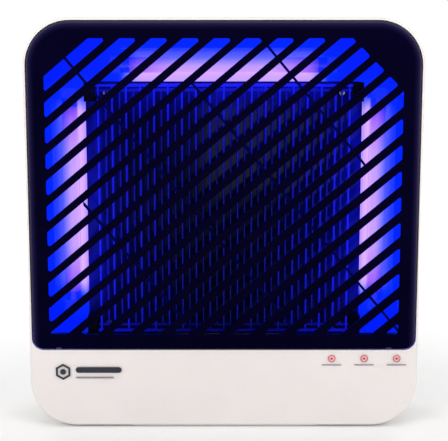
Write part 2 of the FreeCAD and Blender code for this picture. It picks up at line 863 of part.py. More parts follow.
def rounded_prism(corners, radius, y_from, y_to):
    """Extrudes a convex outline with rounded corners along Y."""
    edges = []
    count = len(corners)
    points = [Vector(x, y_from, z) for x, z in corners]
    ends = []
    for index, corner in enumerate(points):
        before, after = points[index - 1], points[(index + 1) % count]
        inward, outward = (before - corner), (after - corner)
        half_angle = inward.getAngle(outward) / 2
        reach = min(radius / math.tan(half_angle), 0.45 * inward.Length, 0.45 * outward.Length)
        bisector = (inward.normalize() + outward.normalize()).normalize()
        size = reach * math.tan(half_angle)
        middle = corner + bisector * (size / math.sin(half_angle) - size)
        ends.append((corner + inward * reach, middle, corner + outward * reach))
    for index, (start, middle, finish) in enumerate(ends):
        edges.append(Part.Arc(start, middle, finish).toShape())
        edges.append(Part.LineSegment(finish, ends[(index + 1) % count][0]).toShape())
    face = Part.Face(Part.Wire(edges))
    return face.extrude(Vector(0, y_to - y_from, 0))


def louvre_slots():
    """Parallel slots across the window, each closed by the window's outline. None comes nearer than
    the corner web to the window's upper left corner, and scraps of slots are left out."""
    angle = math.radians(value("slat_angle"))
    normal = (-math.sin(angle), math.cos(angle))
    middle_z = (value("window_top") + value("window_bottom")) / 2
    origin = middle_z * normal[1]
    reach = math.ceil((value("window_half") + middle_z) / value("slat_pitch"))
    highest = -value("window_half") * normal[0] + value("window_top") * normal[1] - value("corner_web")
    shapes = []
    for index in range(-reach, reach):
        centre = origin + value("slot_phase") + index * value("slat_pitch")
        strip = clip(window_corners(), normal, centre + value("slot_width") / 2)
        strip = clip(strip, (-normal[0], -normal[1]), -(centre - value("slot_width") / 2))
        if len(strip) < 3 or centre + value("slot_width") / 2 > highest:
            continue
        xs = [x for x, _ in strip]
        zs = [z for _, z in strip]
        if max(xs) - min(xs) < value("slot_width"):
            continue
        shapes.append(rounded_prism(strip, value("slot_corner"), value("front_y") - 5,
                                    value("cover_back_y") + 5))
    return Part.makeCompound(shapes)


def cross_ribs():
    """Thin ribs behind the louvres, square to them, that tie them together. The outer two and the one
    right of the middle stop at the backplate's edges, so that only corners cross the tubes."""
    angle = math.radians(value("slat_angle"))
    middle = Vector(0, 0, (value("window_top") + value("window_bottom")) / 2)
    back = value("front_y") + value("slat_depth")
    front = back - value("cross_rib_depth")
    half, plate = value("window_half"), value("plate_half")
    low, high = value("window_bottom"), value("window_top")
    window = rounded_prism(window_corners(), value("slot_corner"), front - 1, back + 1)
    limits = (
        (-plate, half, high),
        (-half, half, high),
        (-half, half, value("plate_top")),
        (-half, plate, high),
    )
    length = 2 * (half + high - low)
    ribs = []
    for index, (left, right, roof) in enumerate(limits):
        shift = (index - (len(limits) - 1) / 2) * value("cross_rib_pitch") + value("cross_rib_shift")
        bar = Part.makeBox(value("cross_rib_width"), value("cross_rib_depth"), length,
                           Vector(-value("cross_rib_width") / 2, 0, -length / 2))
        bar.rotate(Vector(), Vector(0, -1, 0), value("slat_angle"))
        across = Vector(math.cos(angle), 0, math.sin(angle))
        bar.translate(middle + across * shift + Vector(0, front, 0))
        span = Part.makeBox(right - left, back - front + 2, roof - low, Vector(left, front - 1, low))
        ribs.append(bar.common(window).common(span))
    return Part.makeCompound(ribs)


def make_grille_cover():
    body = make_body("cover_shell")
    face = make_sketch(body, "cover_outline", "XZ_Plane", "-front_y")
    rectangle(face, "cover", ("-cover_half", "cover_half"), ("cover_bottom", "cover_top"),
              "cover_bottom_radius", "cover_top_radius")
    pad = grow(body, face, "cover_depth")
    doc.recompute()
    rolled = round_edges(body, pad, edges_in_plane(pad.Shape, "Y", value("front_y")), "cover_roll")
    doc.recompute()
    back_face = max(
        range(len(rolled.Shape.Faces)),
        key=lambda index: rolled.Shape.Faces[index].CenterOfMass.y,
    )
    hollow = body.newObject("PartDesign::Thickness", "cover_hollow")
    hollow.Base = (rolled, [f"Face{back_face + 1}"])
    bind(hollow, Value="wall")
    hollow.Reversed = True

    panel = make_sketch(body, "louvre_panel", "XZ_Plane", "-(front_y + wall / 2)")
    rectangle(panel, "panel", ("-window_half - 3", "window_half + 3"),
              ("window_bottom - 3", "window_top + 3"), "3", "cover_top_radius - window_side - 4")
    grow(body, panel, "slat_depth - wall / 2")

    root = "front_y + wall - fitting_root"
    lug_side = "(hinge_lug_width / 2 + hinge_side_gap)"
    ears = []
    for tag, side in SIDES.items():
        inner, outer = f"{side}hinge_spread - {lug_side}", f"{side}hinge_spread + {lug_side}"
        spans = {
            "inner": (f"{inner} - hinge_ear_width", inner),
            "outer": (outer, f"{outer} + hinge_ear_width"),
        }
        for place, span in spans.items():
            ears.append(block(f"hinge_ear_{tag}_{place}", span, (root, "hinge_y + ear_round"),
                              ("hinge_z - ear_round", "hinge_z + ear_round")))
    tongues = [
        block(f"latch_tongue_{tag}",
              (f"{side}latch_spread - latch_width / 2", f"{side}latch_spread + latch_width / 2"),
              (root, "front_y + wall + latch_reach"), ("latch_z", "latch_z + tongue_thickness"))
        for tag, side in SIDES.items()
    ]
    striker = rod("interlock_striker", "y", "striker_radius", ("interlock_x", "interlock_z"),
                  (root, "cover_back_y"))
    shell = fuse("cover_with_fittings", [body] + ears + tongues + [striker])
    bore = rod("hinge_bore", "x", "hinge_pin_radius + hinge_play", ("hinge_y", "hinge_z"),
               ("-half", "half"))
    clearances = [
        block(f"arm_clearance_{tag}",
              (f"{side}hinge_spread - {lug_side}", f"{side}hinge_spread + {lug_side}"),
              ("front_y + wall", "cover_back_y + 1"), ("cover_bottom - 1", "cover_bottom + cover_roll"))
        for tag, side in SIDES.items()
    ]
    slots = solid("louvre_slots", louvre_slots())
    opened = cut("cover_opened", shell, [bore] + clearances + [slots])
    ribs = solid("cross_ribs", cross_ribs())
    node(fuse("grille_cover", [opened, ribs]))


def make_hinge_and_latch():
    pin_half = "(hinge_lug_width / 2 + hinge_side_gap + hinge_ear_width)"
    pins = [
        rod(f"hinge_pin_{tag}", "x", "hinge_pin_radius", ("hinge_y", "hinge_z"),
            (f"{side}hinge_spread - {pin_half}", f"{side}hinge_spread + {pin_half}"))
        for tag, side in SIDES.items()
    ]
    node(group("hinge_pins", pins))

    # Each clip is a leaf spring that stands behind the ledge, just under its tongue.
    behind = "ledge_y + wall"
    under = "latch_z - latch_play"
    clips = []
    for tag, side in SIDES.items():
        width = (f"{side}latch_spread - latch_width / 2", f"{side}latch_spread + latch_width / 2")
        foot = block(f"clip_foot_{tag}", width, (behind, f"{behind} + clip_sheet"),
                     (f"{under} - clip_foot_height", under))
        leaf = block(f"clip_leaf_{tag}", width, (behind, f"{behind} + clip_leaf_length"),
                     (f"{under} - clip_sheet / 3", f"{under} + 2 * clip_sheet / 3"))
        clips.append(fuse(f"latch_clip_{tag}", [foot, leaf]))
    node(group("latch_clips", clips))


def make_interlock():
    """A small switch behind the ledge; the closed cover's striker stands just off its plunger."""
    behind = "ledge_y + wall"
    case = block("interlock_case", ("interlock_x - interlock_case_half", "interlock_x + interlock_case_half"),
                 (behind, f"{behind} + interlock_case_depth"),
                 ("interlock_z - interlock_case_height / 2", "interlock_z + interlock_case_height / 2"))
    guide = rod("interlock_guide", "y", "plunger_radius + plunger_play", ("interlock_x", "interlock_z"),
                (f"{behind} - 1", f"{behind} + interlock_case_depth / 2"))
    node(cut("interlock_switch", case, [guide]))
    tabs = []
    for index in range(3):
        level = f"interlock_z + {index - 1} * interlock_tab_spacing"
        root = f"{behind} + interlock_case_depth"
        tabs.append(block(f"interlock_tab_{index}", ("interlock_x - 1.5", "interlock_x + 1.5"),
                          (root, f"{root} + tab_length"),
                          (f"{level} - tab_thickness / 2", f"{level} + tab_thickness / 2")))
    node(group("interlock_terminals", tabs))
    node(rod("interlock_plunger", "y", "plunger_radius", ("interlock_x", "interlock_z"),
             ("cover_back_y + plunger_gap", f"{behind} + interlock_case_depth / 2 - 0.5")))


# ---------------------------------------------------------------- high-voltage grid

def make_electrode_grid(name, y, first, rail_low, rail_high):
    pieces = [
        rod(f"{name}_{tag}_rail", "x", "rail_radius", (y, z), ("-rail_half", "rail_half"))
        for tag, z in (("low", rail_low), ("high", rail_high))
    ]
    for index in range(first, int(value("wire_count")), 2):
        pieces.append(rod(f"{name}_wire_{index}", "z", "wire_radius",
                          (f"{index} * wire_pitch - grid_half", y), (rail_low, rail_high)))
    node(fuse(name, pieces))


def make_grid_insulators():
    """Four posts on the backplate that hold both grids by their rails."""
    screws = []
    for tag, side in SIDES.items():
        width = ("-insulator_high", "-insulator_low") if side else ("insulator_low", "insulator_high")
        for level in ("bottom", "top"):
            name = f"grid_insulator_{level}_{tag}"
            if level == "bottom":
                span = ("live_bottom - insulator_margin", "return_bottom + insulator_margin + insulator_foot")
                screw_z = "return_bottom + insulator_foot"
            else:
                span = ("return_top - insulator_margin - insulator_foot", "live_top + insulator_margin")
                screw_z = "return_top - insulator_foot"
            post = block(f"{name}_post", width, ("live_y - insulator_margin", "plate_y"), span)
            blank = rounded(f"{name}_rounded", post, "insulator_margin / 2",
                            lambda edge: abs(edge.BoundBox.YLength) < 1e-6)
            bores = [
                rod(f"{name}_{kind}_bore", "x", "rail_radius", (f"{kind}_y", f"{kind}_{level}"),
                    ("-rail_half", "rail_half"))
                for kind in ("live", "return")
            ]
            node(cut(name, blank, bores))
            screws.append(screw(f"{name}_screw", "y", (f"{side}insulator_x", screw_z),
                                "plate_y", "plate_back_y"))
    node(group("insulator_screws", screws))


def make_backplate():
    body = make_body("backplate")
    face = make_sketch(body, "backplate_outline", "XZ_Plane", "-plate_y")
    rectangle(face, "plate", ("-plate_half", "plate_half"), ("plate_bottom", "plate_top"), "4")
    grow(body, face, "plate_thickness")
    holes = make_sketch(body, "backplate_holes", "XZ_Plane", "-(plate_y - 1)")
    for tag, side in SIDES.items():
        heights = {"bottom": "return_bottom + insulator_foot", "top": "return_top - insulator_foot"}
        for level, height in heights.items():
            circle(holes, f"insulator_{level}_{tag}", (f"{side}insulator_x", height),
                   "screw_radius + pilot_play")
    for tag, centre in CHASSIS_POSTS.items():
        circle(holes, f"standoff_{tag}", centre, "screw_radius + pilot_play")
    carve(body, holes, "plate_thickness + 2")
    node(body)

    standoffs = []
    screws = []
    for tag, centre in CHASSIS_POSTS.items():
        spacer = rod(f"standoff_{tag}_rod", "y", "standoff_radius", centre, ("plate_back_y", "chassis_y"))
        bore = rod(f"standoff_{tag}_bore", "y", "screw_radius + pilot_play", centre,
                   ("plate_back_y - 1", "chassis_y + 1"))
        standoffs.append(cut(f"standoff_{tag}", spacer, [bore]))
        screws.append(screw(f"backplate_screw_{tag}", "y", centre, "chassis_back_y + 9",
                            "plate_y", -1))
    node(group("backplate_standoffs", standoffs))
    node(group("backplate_screws", screws))


# ---------------------------------------------------------------- tubes and reflectors

def tube_ends(middle):
    """The two ends of a tube's length round its middle."""
    low, high = f"({middle}) - tube_length / 2", f"({middle}) + tube_length / 2"
    return low, high


TUBES = {
    "left": ("z", "-tube_x", "side_tube_z"),
    "top": ("x", "tube_z", "0"),
    "right": ("z", "tube_x", "side_tube_z"),
}


def along_tube(name, axis, radius, off_axis, shift, span):
    """A cylinder beside a tube's axis: shifted across the front by shift."""
    if axis == "z":
        return rod(name, "z", radius, (f"({off_axis}) + ({shift})", "tube_y"), span)
    return rod(name, "x", radius, ("tube_y", f"({off_axis}) + ({shift})"), span)


def beside_tube(name, axis, off_axis, width, y, span):
    """A block centred across a tube's axis."""
    across = (f"({off_axis}) - ({width}) / 2", f"({off_axis}) + ({width}) / 2")
    if axis == "z":
        return block(name, across, y, span)
    return block(name, span, y, across)


def make_tube(tag):
    axis, off_axis, middle = TUBES[tag]
    low, high = tube_ends(middle)
    glass_span = (f"{low} + cap_length", f"{high} - cap_length")
    outside = along_tube(f"tube_{tag}_outside", axis, "tube_radius", off_axis, "0", glass_span)
    inside = along_tube(f"tube_{tag}_inside", axis, "tube_radius - tube_wall", off_axis, "0",
                        (f"{low} + cap_length + 1", f"{high} - cap_length - 1"))
    node(cut(f"uv_tube_{tag}", outside, [inside]))

    caps = []
    for end, inner, outer, sign in (("low", f"{low} + cap_length", low, -1),
                                    ("high", f"{high} - cap_length", high, 1)):
        span = (outer, inner) if sign < 0 else (inner, outer)
        tip = f"({outer}) + {sign} * contact_length"
        pin_span = (tip, outer) if sign < 0 else (outer, tip)
        collar = along_tube(f"cap_{tag}_{end}_collar", axis, "tube_radius", off_axis, "0", span)
        pins = [
            along_tube(f"cap_{tag}_{end}_pin_{index}", axis, "contact_radius", off_axis,
                       f"{shift} * contact_spacing / 2", pin_span)
            for index, shift in enumerate((-1, 1))
        ]
        caps.append(fuse(f"cap_{tag}_{end}", [collar] + pins))
    node(group(f"tube_caps_{tag}", caps))

    for end, outer, sign in (("low", low, -1), ("high", high, 1)):
        name = f"lampholder_{tag}_{end}"
        gap = f"({outer}) + {sign} * 0.2"
        far = f"({gap}) + {sign} * holder_length"
        span = (far, gap) if sign < 0 else (gap, far)
        post = beside_tube(f"{name}_post", axis, off_axis, "holder_width", ("tube_y - 7", "chassis_y"), span)
        blank = rounded(f"{name}_rounded", post, "3", lambda edge, axis=axis: (
            abs(edge.BoundBox.ZLength if axis == "x" else edge.BoundBox.XLength) < 1e-6
            and abs(edge.BoundBox.YLength) < 1e-6
            and edge.BoundBox.YMin < value("tube_y")))
        slots = [
            along_tube(f"{name}_contact_{index}", axis, "contact_radius + 0.1", off_axis,
                       f"{shift} * contact_spacing / 2", (f"({low}) - 12", f"({high}) + 12"))
            for index, shift in enumerate((-1, 1))
        ]
        node(cut(name, blank, slots))


def trough_section(across, length_from, length_to, axis):
    """A folded sheet trough: a floor on the chassis and two walls that open towards the front."""
    floor_half, mouth_half = value("trough_floor") / 2, value("trough_mouth") / 2
    back, front = value("chassis_y"), value("plate_back_y") + 4
    sheet = value("trough_sheet")
    profile = [
        (-mouth_half, front),
        (-floor_half, back),
        (floor_half, back),
        (mouth_half, front),
        (mouth_half - sheet, front),
        (floor_half - sheet * 0.6, back - sheet),
        (-floor_half + sheet * 0.6, back - sheet),
        (-mouth_half + sheet, front),
    ]
    if axis == "z":
        points = [Vector(across + u, y, length_from) for u, y in profile]
        direction = Vector(0, 0, length_to - length_from)
    else:
        points = [Vector(length_from, y, across + u) for u, y in profile]
        direction = Vector(length_to - length_from, 0, 0)
    return Part.Face(Part.makePolygon(points + points[:1])).extrude(direction)


def make_reflectors():
    for tag, (axis, off_axis, middle) in TUBES.items():
        reach = value("tube_length") / 2 - 1
        centre = number(middle)
        shape = trough_section(number(off_axis), centre - reach, centre + reach, axis)
        node(solid(f"tube_reflector_{tag}", shape))


def make_chassis():
    """A sheet that closes the whole back of the lamp space, cut out round the housing's bosses."""
    body = make_body("chassis_plate")
    face = make_sketch(body, "chassis_outline", "XZ_Plane", "-chassis_y")
    rectangle(face, "chassis", ("-chassis_half", "chassis_half"), ("chassis_low", "chassis_high"),
              "6", "corner_radius - wall - chassis_margin")
    grow(body, face, "chassis_thickness")
    holes = make_sketch(body, "chassis_holes", "XZ_Plane", "-(chassis_y - 1)")
    for tag, centre in CHASSIS_POSTS.items():
        circle(holes, tag, centre, "screw_radius + pilot_play")
    circle(holes, "wiring", ("0", "shelf_top + 30"), "6")
    carve(body, holes, "chassis_thickness + 2")
    for tag, (x, z) in SCREW_PLACES.items():
        if tag.startswith("bottom"):
            continue
        notch = make_sketch(body, f"chassis_notch_{tag}", "XZ_Plane", "-(chassis_y - 1)")
        circle(notch, "round_boss", (x, z), "boss_radius + chassis_play")
        carve(body, notch, "chassis_thickness + 2")
    node(body)


# ---------------------------------------------------------------- chute and tray

def make_chute():
    def ring(half_x, y_from, y_to, z):
        points = [Vector(-half_x, y_from, z), Vector(half_x, y_from, z),
                  Vector(half_x, y_to, z), Vector(-half_x, y_to, z)]
        return Part.makePolygon(points + points[:1])

    wall, thin = value("chute_wall"), 0.01
    top, bottom = value("chute_top"), value("chute_bottom")
    front, back = value("mouth_front_y"), value("plate_y")
    out_front, out_back = value("tray_front_y") + 5, value("tray_back_y") - 6
    outside = Part.makeLoft([
        ring(value("mouth_half") + wall, front - wall, back + wall, top),
        ring(value("chute_outlet_half") + wall, out_front - wall, out_back + wall, bottom),
    ], True, True)
    inside = Part.makeLoft([
        ring(value("mouth_half"), front, back, top + thin),
        ring(value("chute_outlet_half"), out_front, out_back, bottom - thin),
    ], True, True)
    reach = value("mouth_half") + value("chute_flange")
    flange = Part.makeBox(2 * reach, back - front + 8, wall, Vector(-reach, front - wall, top - wall))
    shape = outside.fuse(flange).cut(inside)
    screw_x, screw_y = value("chute_screw_x"), value("chute_screw_y")
    hole = value("screw_radius") + value("pilot_play")
    for x in (-screw_x, screw_x):
        shape = shape.cut(Part.makeCylinder(hole, 4 * wall, Vector(x, screw_y, top - 2 * wall)))
    node(solid("insect_chute", shape.removeSplitter()))
    screws = [
        screw(f"chute_screw_{tag}", "z", (f"{side}chute_screw_x", "chute_screw_y"), "shelf_bottom + 2",
              "shelf_bottom - chute_wall", -1)
        for tag, side in SIDES.items()
    ]
    node(group("chute_screws", screws))


def make_tray():
    body = make_body("collection_tray")
    floor = make_sketch(body, "tray_outline", "XY_Plane", "tray_bottom")
    rectangle(floor, "tray", ("-tray_half", "tray_half"), ("tray_front_y", "tray_back_y"), "3")
    grow(body, floor, "tray_height")
    hollow = make_sketch(body, "tray_hollow", "XY_Plane", "tray_bottom + tray_wall")
    rectangle(hollow, "hollow", ("-tray_half + tray_wall", "tray_half - tray_wall"),
              ("tray_front_y + tray_wall", "tray_back_y - tray_wall"), "1.5")
    carve(body, hollow, "tray_height")
    lip = make_sketch(body, "tray_lip_outline", "XY_Plane", "lip_top - tray_lip_thickness")
    rectangle(lip, "lip", ("-tray_half - tray_lip", "tray_half + tray_lip"),
              ("tray_front_y - tray_lip", "tray_back_y + tray_lip"), "4")
    grow(body, lip, "tray_lip_thickness")
    neck = make_sketch(body, "tray_neck", "XY_Plane", "lip_top - tray_lip_thickness / 2")
    rectangle(neck, "neck", ("-tray_half + 2", "tray_half - 2"),
              ("tray_front_y + 2", "tray_back_y - 2"), "2")
    grow(body, neck, "tray_bottom - lip_top + tray_lip_thickness")
    node(body)


# ---------------------------------------------------------------- mains and high-voltage parts

def make_inlet():
    """A two-pin inlet, flush with the side wall and flanged on the inside."""
    flange = block("inlet_flange_plate", ("inlet_seat - 2", "inlet_seat"),
                   ("inlet_y - inlet_flange / 2", "inlet_y + inlet_flange / 2"),
                   ("inlet_z - inlet_height / 2 - 2", "inlet_z + inlet_height / 2 + 2"))
    shell = block("inlet_shell", ("half - inlet_depth", "half"),
                  ("inlet_y - inlet_length / 2", "inlet_y + inlet_length / 2"),
                  ("inlet_z - inlet_height / 2", "inlet_z + inlet_height / 2"))
    softened = rounded("inlet_shell_rounded", shell, "2.8", lambda edge: edge.BoundBox.XLength > 15)
    socket = block("inlet_socket", ("half - inlet_depth + 4", "half + 3"),
                   ("inlet_y - inlet_length / 2 + 2", "inlet_y + inlet_length / 2 - 2"),
                   ("inlet_z - inlet_height / 2 + 3", "inlet_z + inlet_height / 2 - 3"))
    pocket = rounded("inlet_socket_rounded", socket, "3.8", lambda edge: edge.BoundBox.XLength > 15)
    screw_places = [f"inlet_y {sign} (inlet_flange / 2 - 3.6)" for sign in "-+"]
    pin_places = [f"inlet_y {sign} inlet_pin_spacing / 2" for sign in "-+"]
    pilots = [
        rod(f"inlet_pilot_{index}", "x", "screw_radius + pilot_play", (y, "inlet_z"),
            ("inlet_seat - 3", "half"))
        for index, y in enumerate(screw_places)
    ]
    pin_ways = [
        rod(f"inlet_pin_way_{index}", "x", "inlet_pin_radius", (y, "inlet_z"),
            ("half - inlet_depth - 1", "half - 10"))
        for index, y in enumerate(pin_places)
    ]
    node(cut("power_inlet", fuse("inlet_blank", [flange, softened]), [pocket] + pilots + pin_ways))
    pins = [
        rod(f"inlet_pin_{index}", "x", "inlet_pin_radius", (y, "inlet_z"),
            ("half - inlet_depth - 5", "half - 4"))
        for index, y in enumerate(pin_places)
    ]
    node(group("inlet_pins", pins))
    screws = [
        screw(f"inlet_screw_{index}", "x", (y, "inlet_z"), "inlet_seat + 1.4", "inlet_seat - 2", -1)
        for index, y in enumerate(screw_places)
    ]
    node(group("inlet_screws", screws))


def make_rocker_switch():
    """A two-position rocker on trunnions in a snap-in body."""
    bezel = block("switch_bezel_plate", ("switch_x", "switch_x + switch_bezel"),
                  ("switch_y - switch_length / 2 - 1", "switch_y + switch_length / 2 + 1"),
                  ("inlet_z - switch_height / 2 - 1", "inlet_z + switch_height / 2 + 1"))
    shell = block("switch_shell", ("switch_x - switch_body_depth", "switch_x + switch_bezel / 2"),
                  ("switch_y - switch_length / 2 + 0.2", "switch_y + switch_length / 2 - 0.2"),
                  ("inlet_z - switch_height / 2 + 0.2", "inlet_z + switch_height / 2 - 0.2"))
    well = block("switch_well", ("switch_x - switch_well_depth", "switch_x + 3"),
                 ("switch_y - switch_length / 2 + switch_well_wall",
                  "switch_y + switch_length / 2 - switch_well_wall"),
                 ("inlet_z - switch_height / 2 + switch_well_wall",
                  "inlet_z + switch_height / 2 - switch_well_wall"))
    trunnion_half = "(switch_height / 2 - switch_well_wall + pivot_reach)"
    bearing = rod("switch_bearing", "z", "pivot_radius + 0.15", ("pivot_x", "switch_y"),
                  (f"inlet_z - {trunnion_half} - 0.1", f"inlet_z + {trunnion_half} + 0.1"))
    node(cut("switch_body", fuse("switch_blank", [bezel, shell]), [well, bearing]))
    tabs = []
    for index, side in enumerate("-+"):
        centre = f"switch_y {side} switch_tab_offset"
        tabs.append(block(f"switch_tab_{index}",
                          ("switch_x - switch_body_depth - tab_length", "switch_x - switch_body_depth"),
                          (f"{centre} - tab_thickness / 2", f"{centre} + tab_thickness / 2"),
                          ("inlet_z - tab_half", "inlet_z + tab_half")))
    node(group("switch_terminals", tabs))

    # The rocker's face is a shallow V over its pivot, which lies along Z just under the bezel.
    face_x, mid_y, mid_z = value("switch_x") + value("rocker_rise"), value("switch_y"), value("inlet_z")
    reach = value("switch_length") / 2 - value("switch_well_wall") - value("rocker_play")
    drop = math.tan(math.radians(value("switch_tilt"))) * reach
    height = value("switch_height") / 2 - value("switch_well_wall") - 0.4
    root_x, root_reach = face_x - value("rocker_depth"), reach - value("rocker_taper")
    points = [
        Vector(root_x, mid_y - root_reach, mid_z - height),
        Vector(face_x - drop, mid_y - reach, mid_z - height),
        Vector(face_x, mid_y, mid_z - height),
        Vector(face_x + drop, mid_y + reach, mid_z - height),
        Vector(root_x, mid_y + root_reach, mid_z - height),
    ]
    wedge = Part.Face(Part.makePolygon(points + points[:1])).extrude(Vector(0, 0, 2 * height))
    trunnions = rod("rocker_trunnions", "z", "pivot_radius", ("pivot_x", "switch_y"),
                    (f"inlet_z - {trunnion_half}", f"inlet_z + {trunnion_half}"))
    node(fuse("rocker_button", [solid("rocker_wedge", wedge), trunnions]))


def make_ballast():
    """The tubes' electronic ballast: a board on pillars behind the chassis."""
    node(block("ballast_board", ("-ballast_half", "ballast_half"), ("board_y", "parts_y"),
               ("board_low", "board_high")))
    pillars = [
        rod(f"ballast_pillar_{tag}_{height}", "y", "pillar_radius",
            (f"{side}(ballast_half - 6)", place), ("chassis_back_y", "board_y"))
        for tag, side in SIDES.items()
        for height, place in (("low", "board_low + 6"), ("high", "board_high - 6"))
    ]
    node(group("ballast_pillars", pillars))
    chokes = [
        block(f"choke_{index}",
              (f"{index - 1} * choke_pitch - choke_half", f"{index - 1} * choke_pitch + choke_half"),
              ("parts_y", "parts_y + choke_height"), ("board_low + 4", "board_low + 4 + 2 * choke_half"))
        for index in range(3)
    ]
    node(group("ballast_chokes", chokes))
    cans = [
        rod(f"ballast_can_{index}", "y", "can_radius", (f"{place} * can_pitch", "board_high - 12"),
            ("parts_y", "parts_y + can_height"))
        for index, place in enumerate((-1.5, -0.5, 0.5, 1.5))
    ]
    node(group("ballast_capacitors", cans))


def make_high_voltage_supply():
    """A transformer and a ladder of capacitors on a board at the lower left."""
    node(block("hv_board", ("hv_left", "hv_right"), ("hv_front_y", "hv_back_y"),
               ("deck_z - board_thickness", "deck_z")))
    pillars = [
        rod(f"hv_pillar_{row}_{column}", "z", "pillar_radius", (x, y),
            ("floor_z", "deck_z - board_thickness"))
        for row, x in enumerate(("hv_left + 11", "hv_right - 6"))
        for column, y in enumerate(("hv_front_y + 6", "hv_back_y - 6"))
    ]
    node(group("hv_pillars", pillars))
    core = block("hv_core", ("hv_left + 3", "hv_left + 29"), ("hv_front_y + 8", "hv_front_y + 34"),
                 ("deck_z", "deck_z + transformer_height"))
    coil = rod("hv_coil", "z", "10", ("hv_left + 16", "hv_front_y + 21"),
               ("deck_z + transformer_height", "deck_z + transformer_height + coil_height"))
    node(fuse("hv_transformer", [core, coil]))
    ladder = [
        rod(f"hv_capacitor_{row}_{column}", "z", "ladder_radius",
            (x, f"hv_front_y + 10 + {column} * ladder_pitch"), ("deck_z", "deck_z + ladder_height"))
        for row, x in enumerate(("hv_right - 18", "hv_right - 7"))
        for column in range(3)
    ]
    node(group("hv_capacitors", ladder))
    node(block("hv_resistor_block", ("hv_left + 4", "hv_right - 10"), ("hv_back_y - 20", "hv_back_y - 6"),
               ("deck_z", "deck_z + resistor_height")))


def make_terminal_block():
    strip = block("terminal_strip", ("terminal_x - terminal_half", "terminal_x + terminal_half"),
                  (f"{TERMINALS[0] - TERMINAL_END}", f"{TERMINALS[-1] + TERMINAL_END}"),
                  ("floor_z", "floor_z + terminal_height"))
    ways = [
        rod(f"terminal_way_{index}", "z", "2", ("terminal_x", str(y)), ("terminal_z - 4", "terminal_z + 7"))
        for index, y in enumerate(TERMINALS)
    ]
    node(cut("terminal_block", strip, ways))
    heads = [
        rod(f"terminal_screw_{index}", "z", "1.9", ("terminal_x", str(y)), ("terminal_z - 4", "terminal_z"))
        for index, y in enumerate(TERMINALS)
    ]
    node(group("terminal_screws", heads))


def rounded_route(points):
    """Straight runs joined by tangent arcs, each as large as its two runs allow."""
    ends = []
    for before, corner, after in zip(points, points[1:], points[2:]):
        inward, outward = before - corner, after - corner
        shorter = min(inward.Length, outward.Length)
        half_angle = inward.getAngle(outward) / 2
        reach = 0.45 * shorter
        radius = reach * math.tan(half_angle)
        bisector = (inward.normalize() + outward.normalize()).normalize()
        middle = corner + bisector * (radius / math.sin(half_angle) - radius)
        ends.append((corner + inward * reach, middle, corner + outward * reach))
    edges = []
    here = points[0]
    for start, middle, finish in ends:
        edges.append(Part.LineSegment(here, start).toShape())
        edges.append(Part.Arc(start, middle, finish).toShape())
        here = finish
    edges.append(Part.LineSegment(here, points[-1]).toShape())
    return Part.Wire(edges)


def lead(name, points):
    """An insulated wire along a route."""
    start = Vector(*points[0])
    route = rounded_route([Vector(*point) for point in points])
    ring = Part.Wire(Part.makeCircle(value("wiring_radius"), start, Vector(*points[1]) - start))
    return solid(name, route.makePipeShell([ring], True, True))


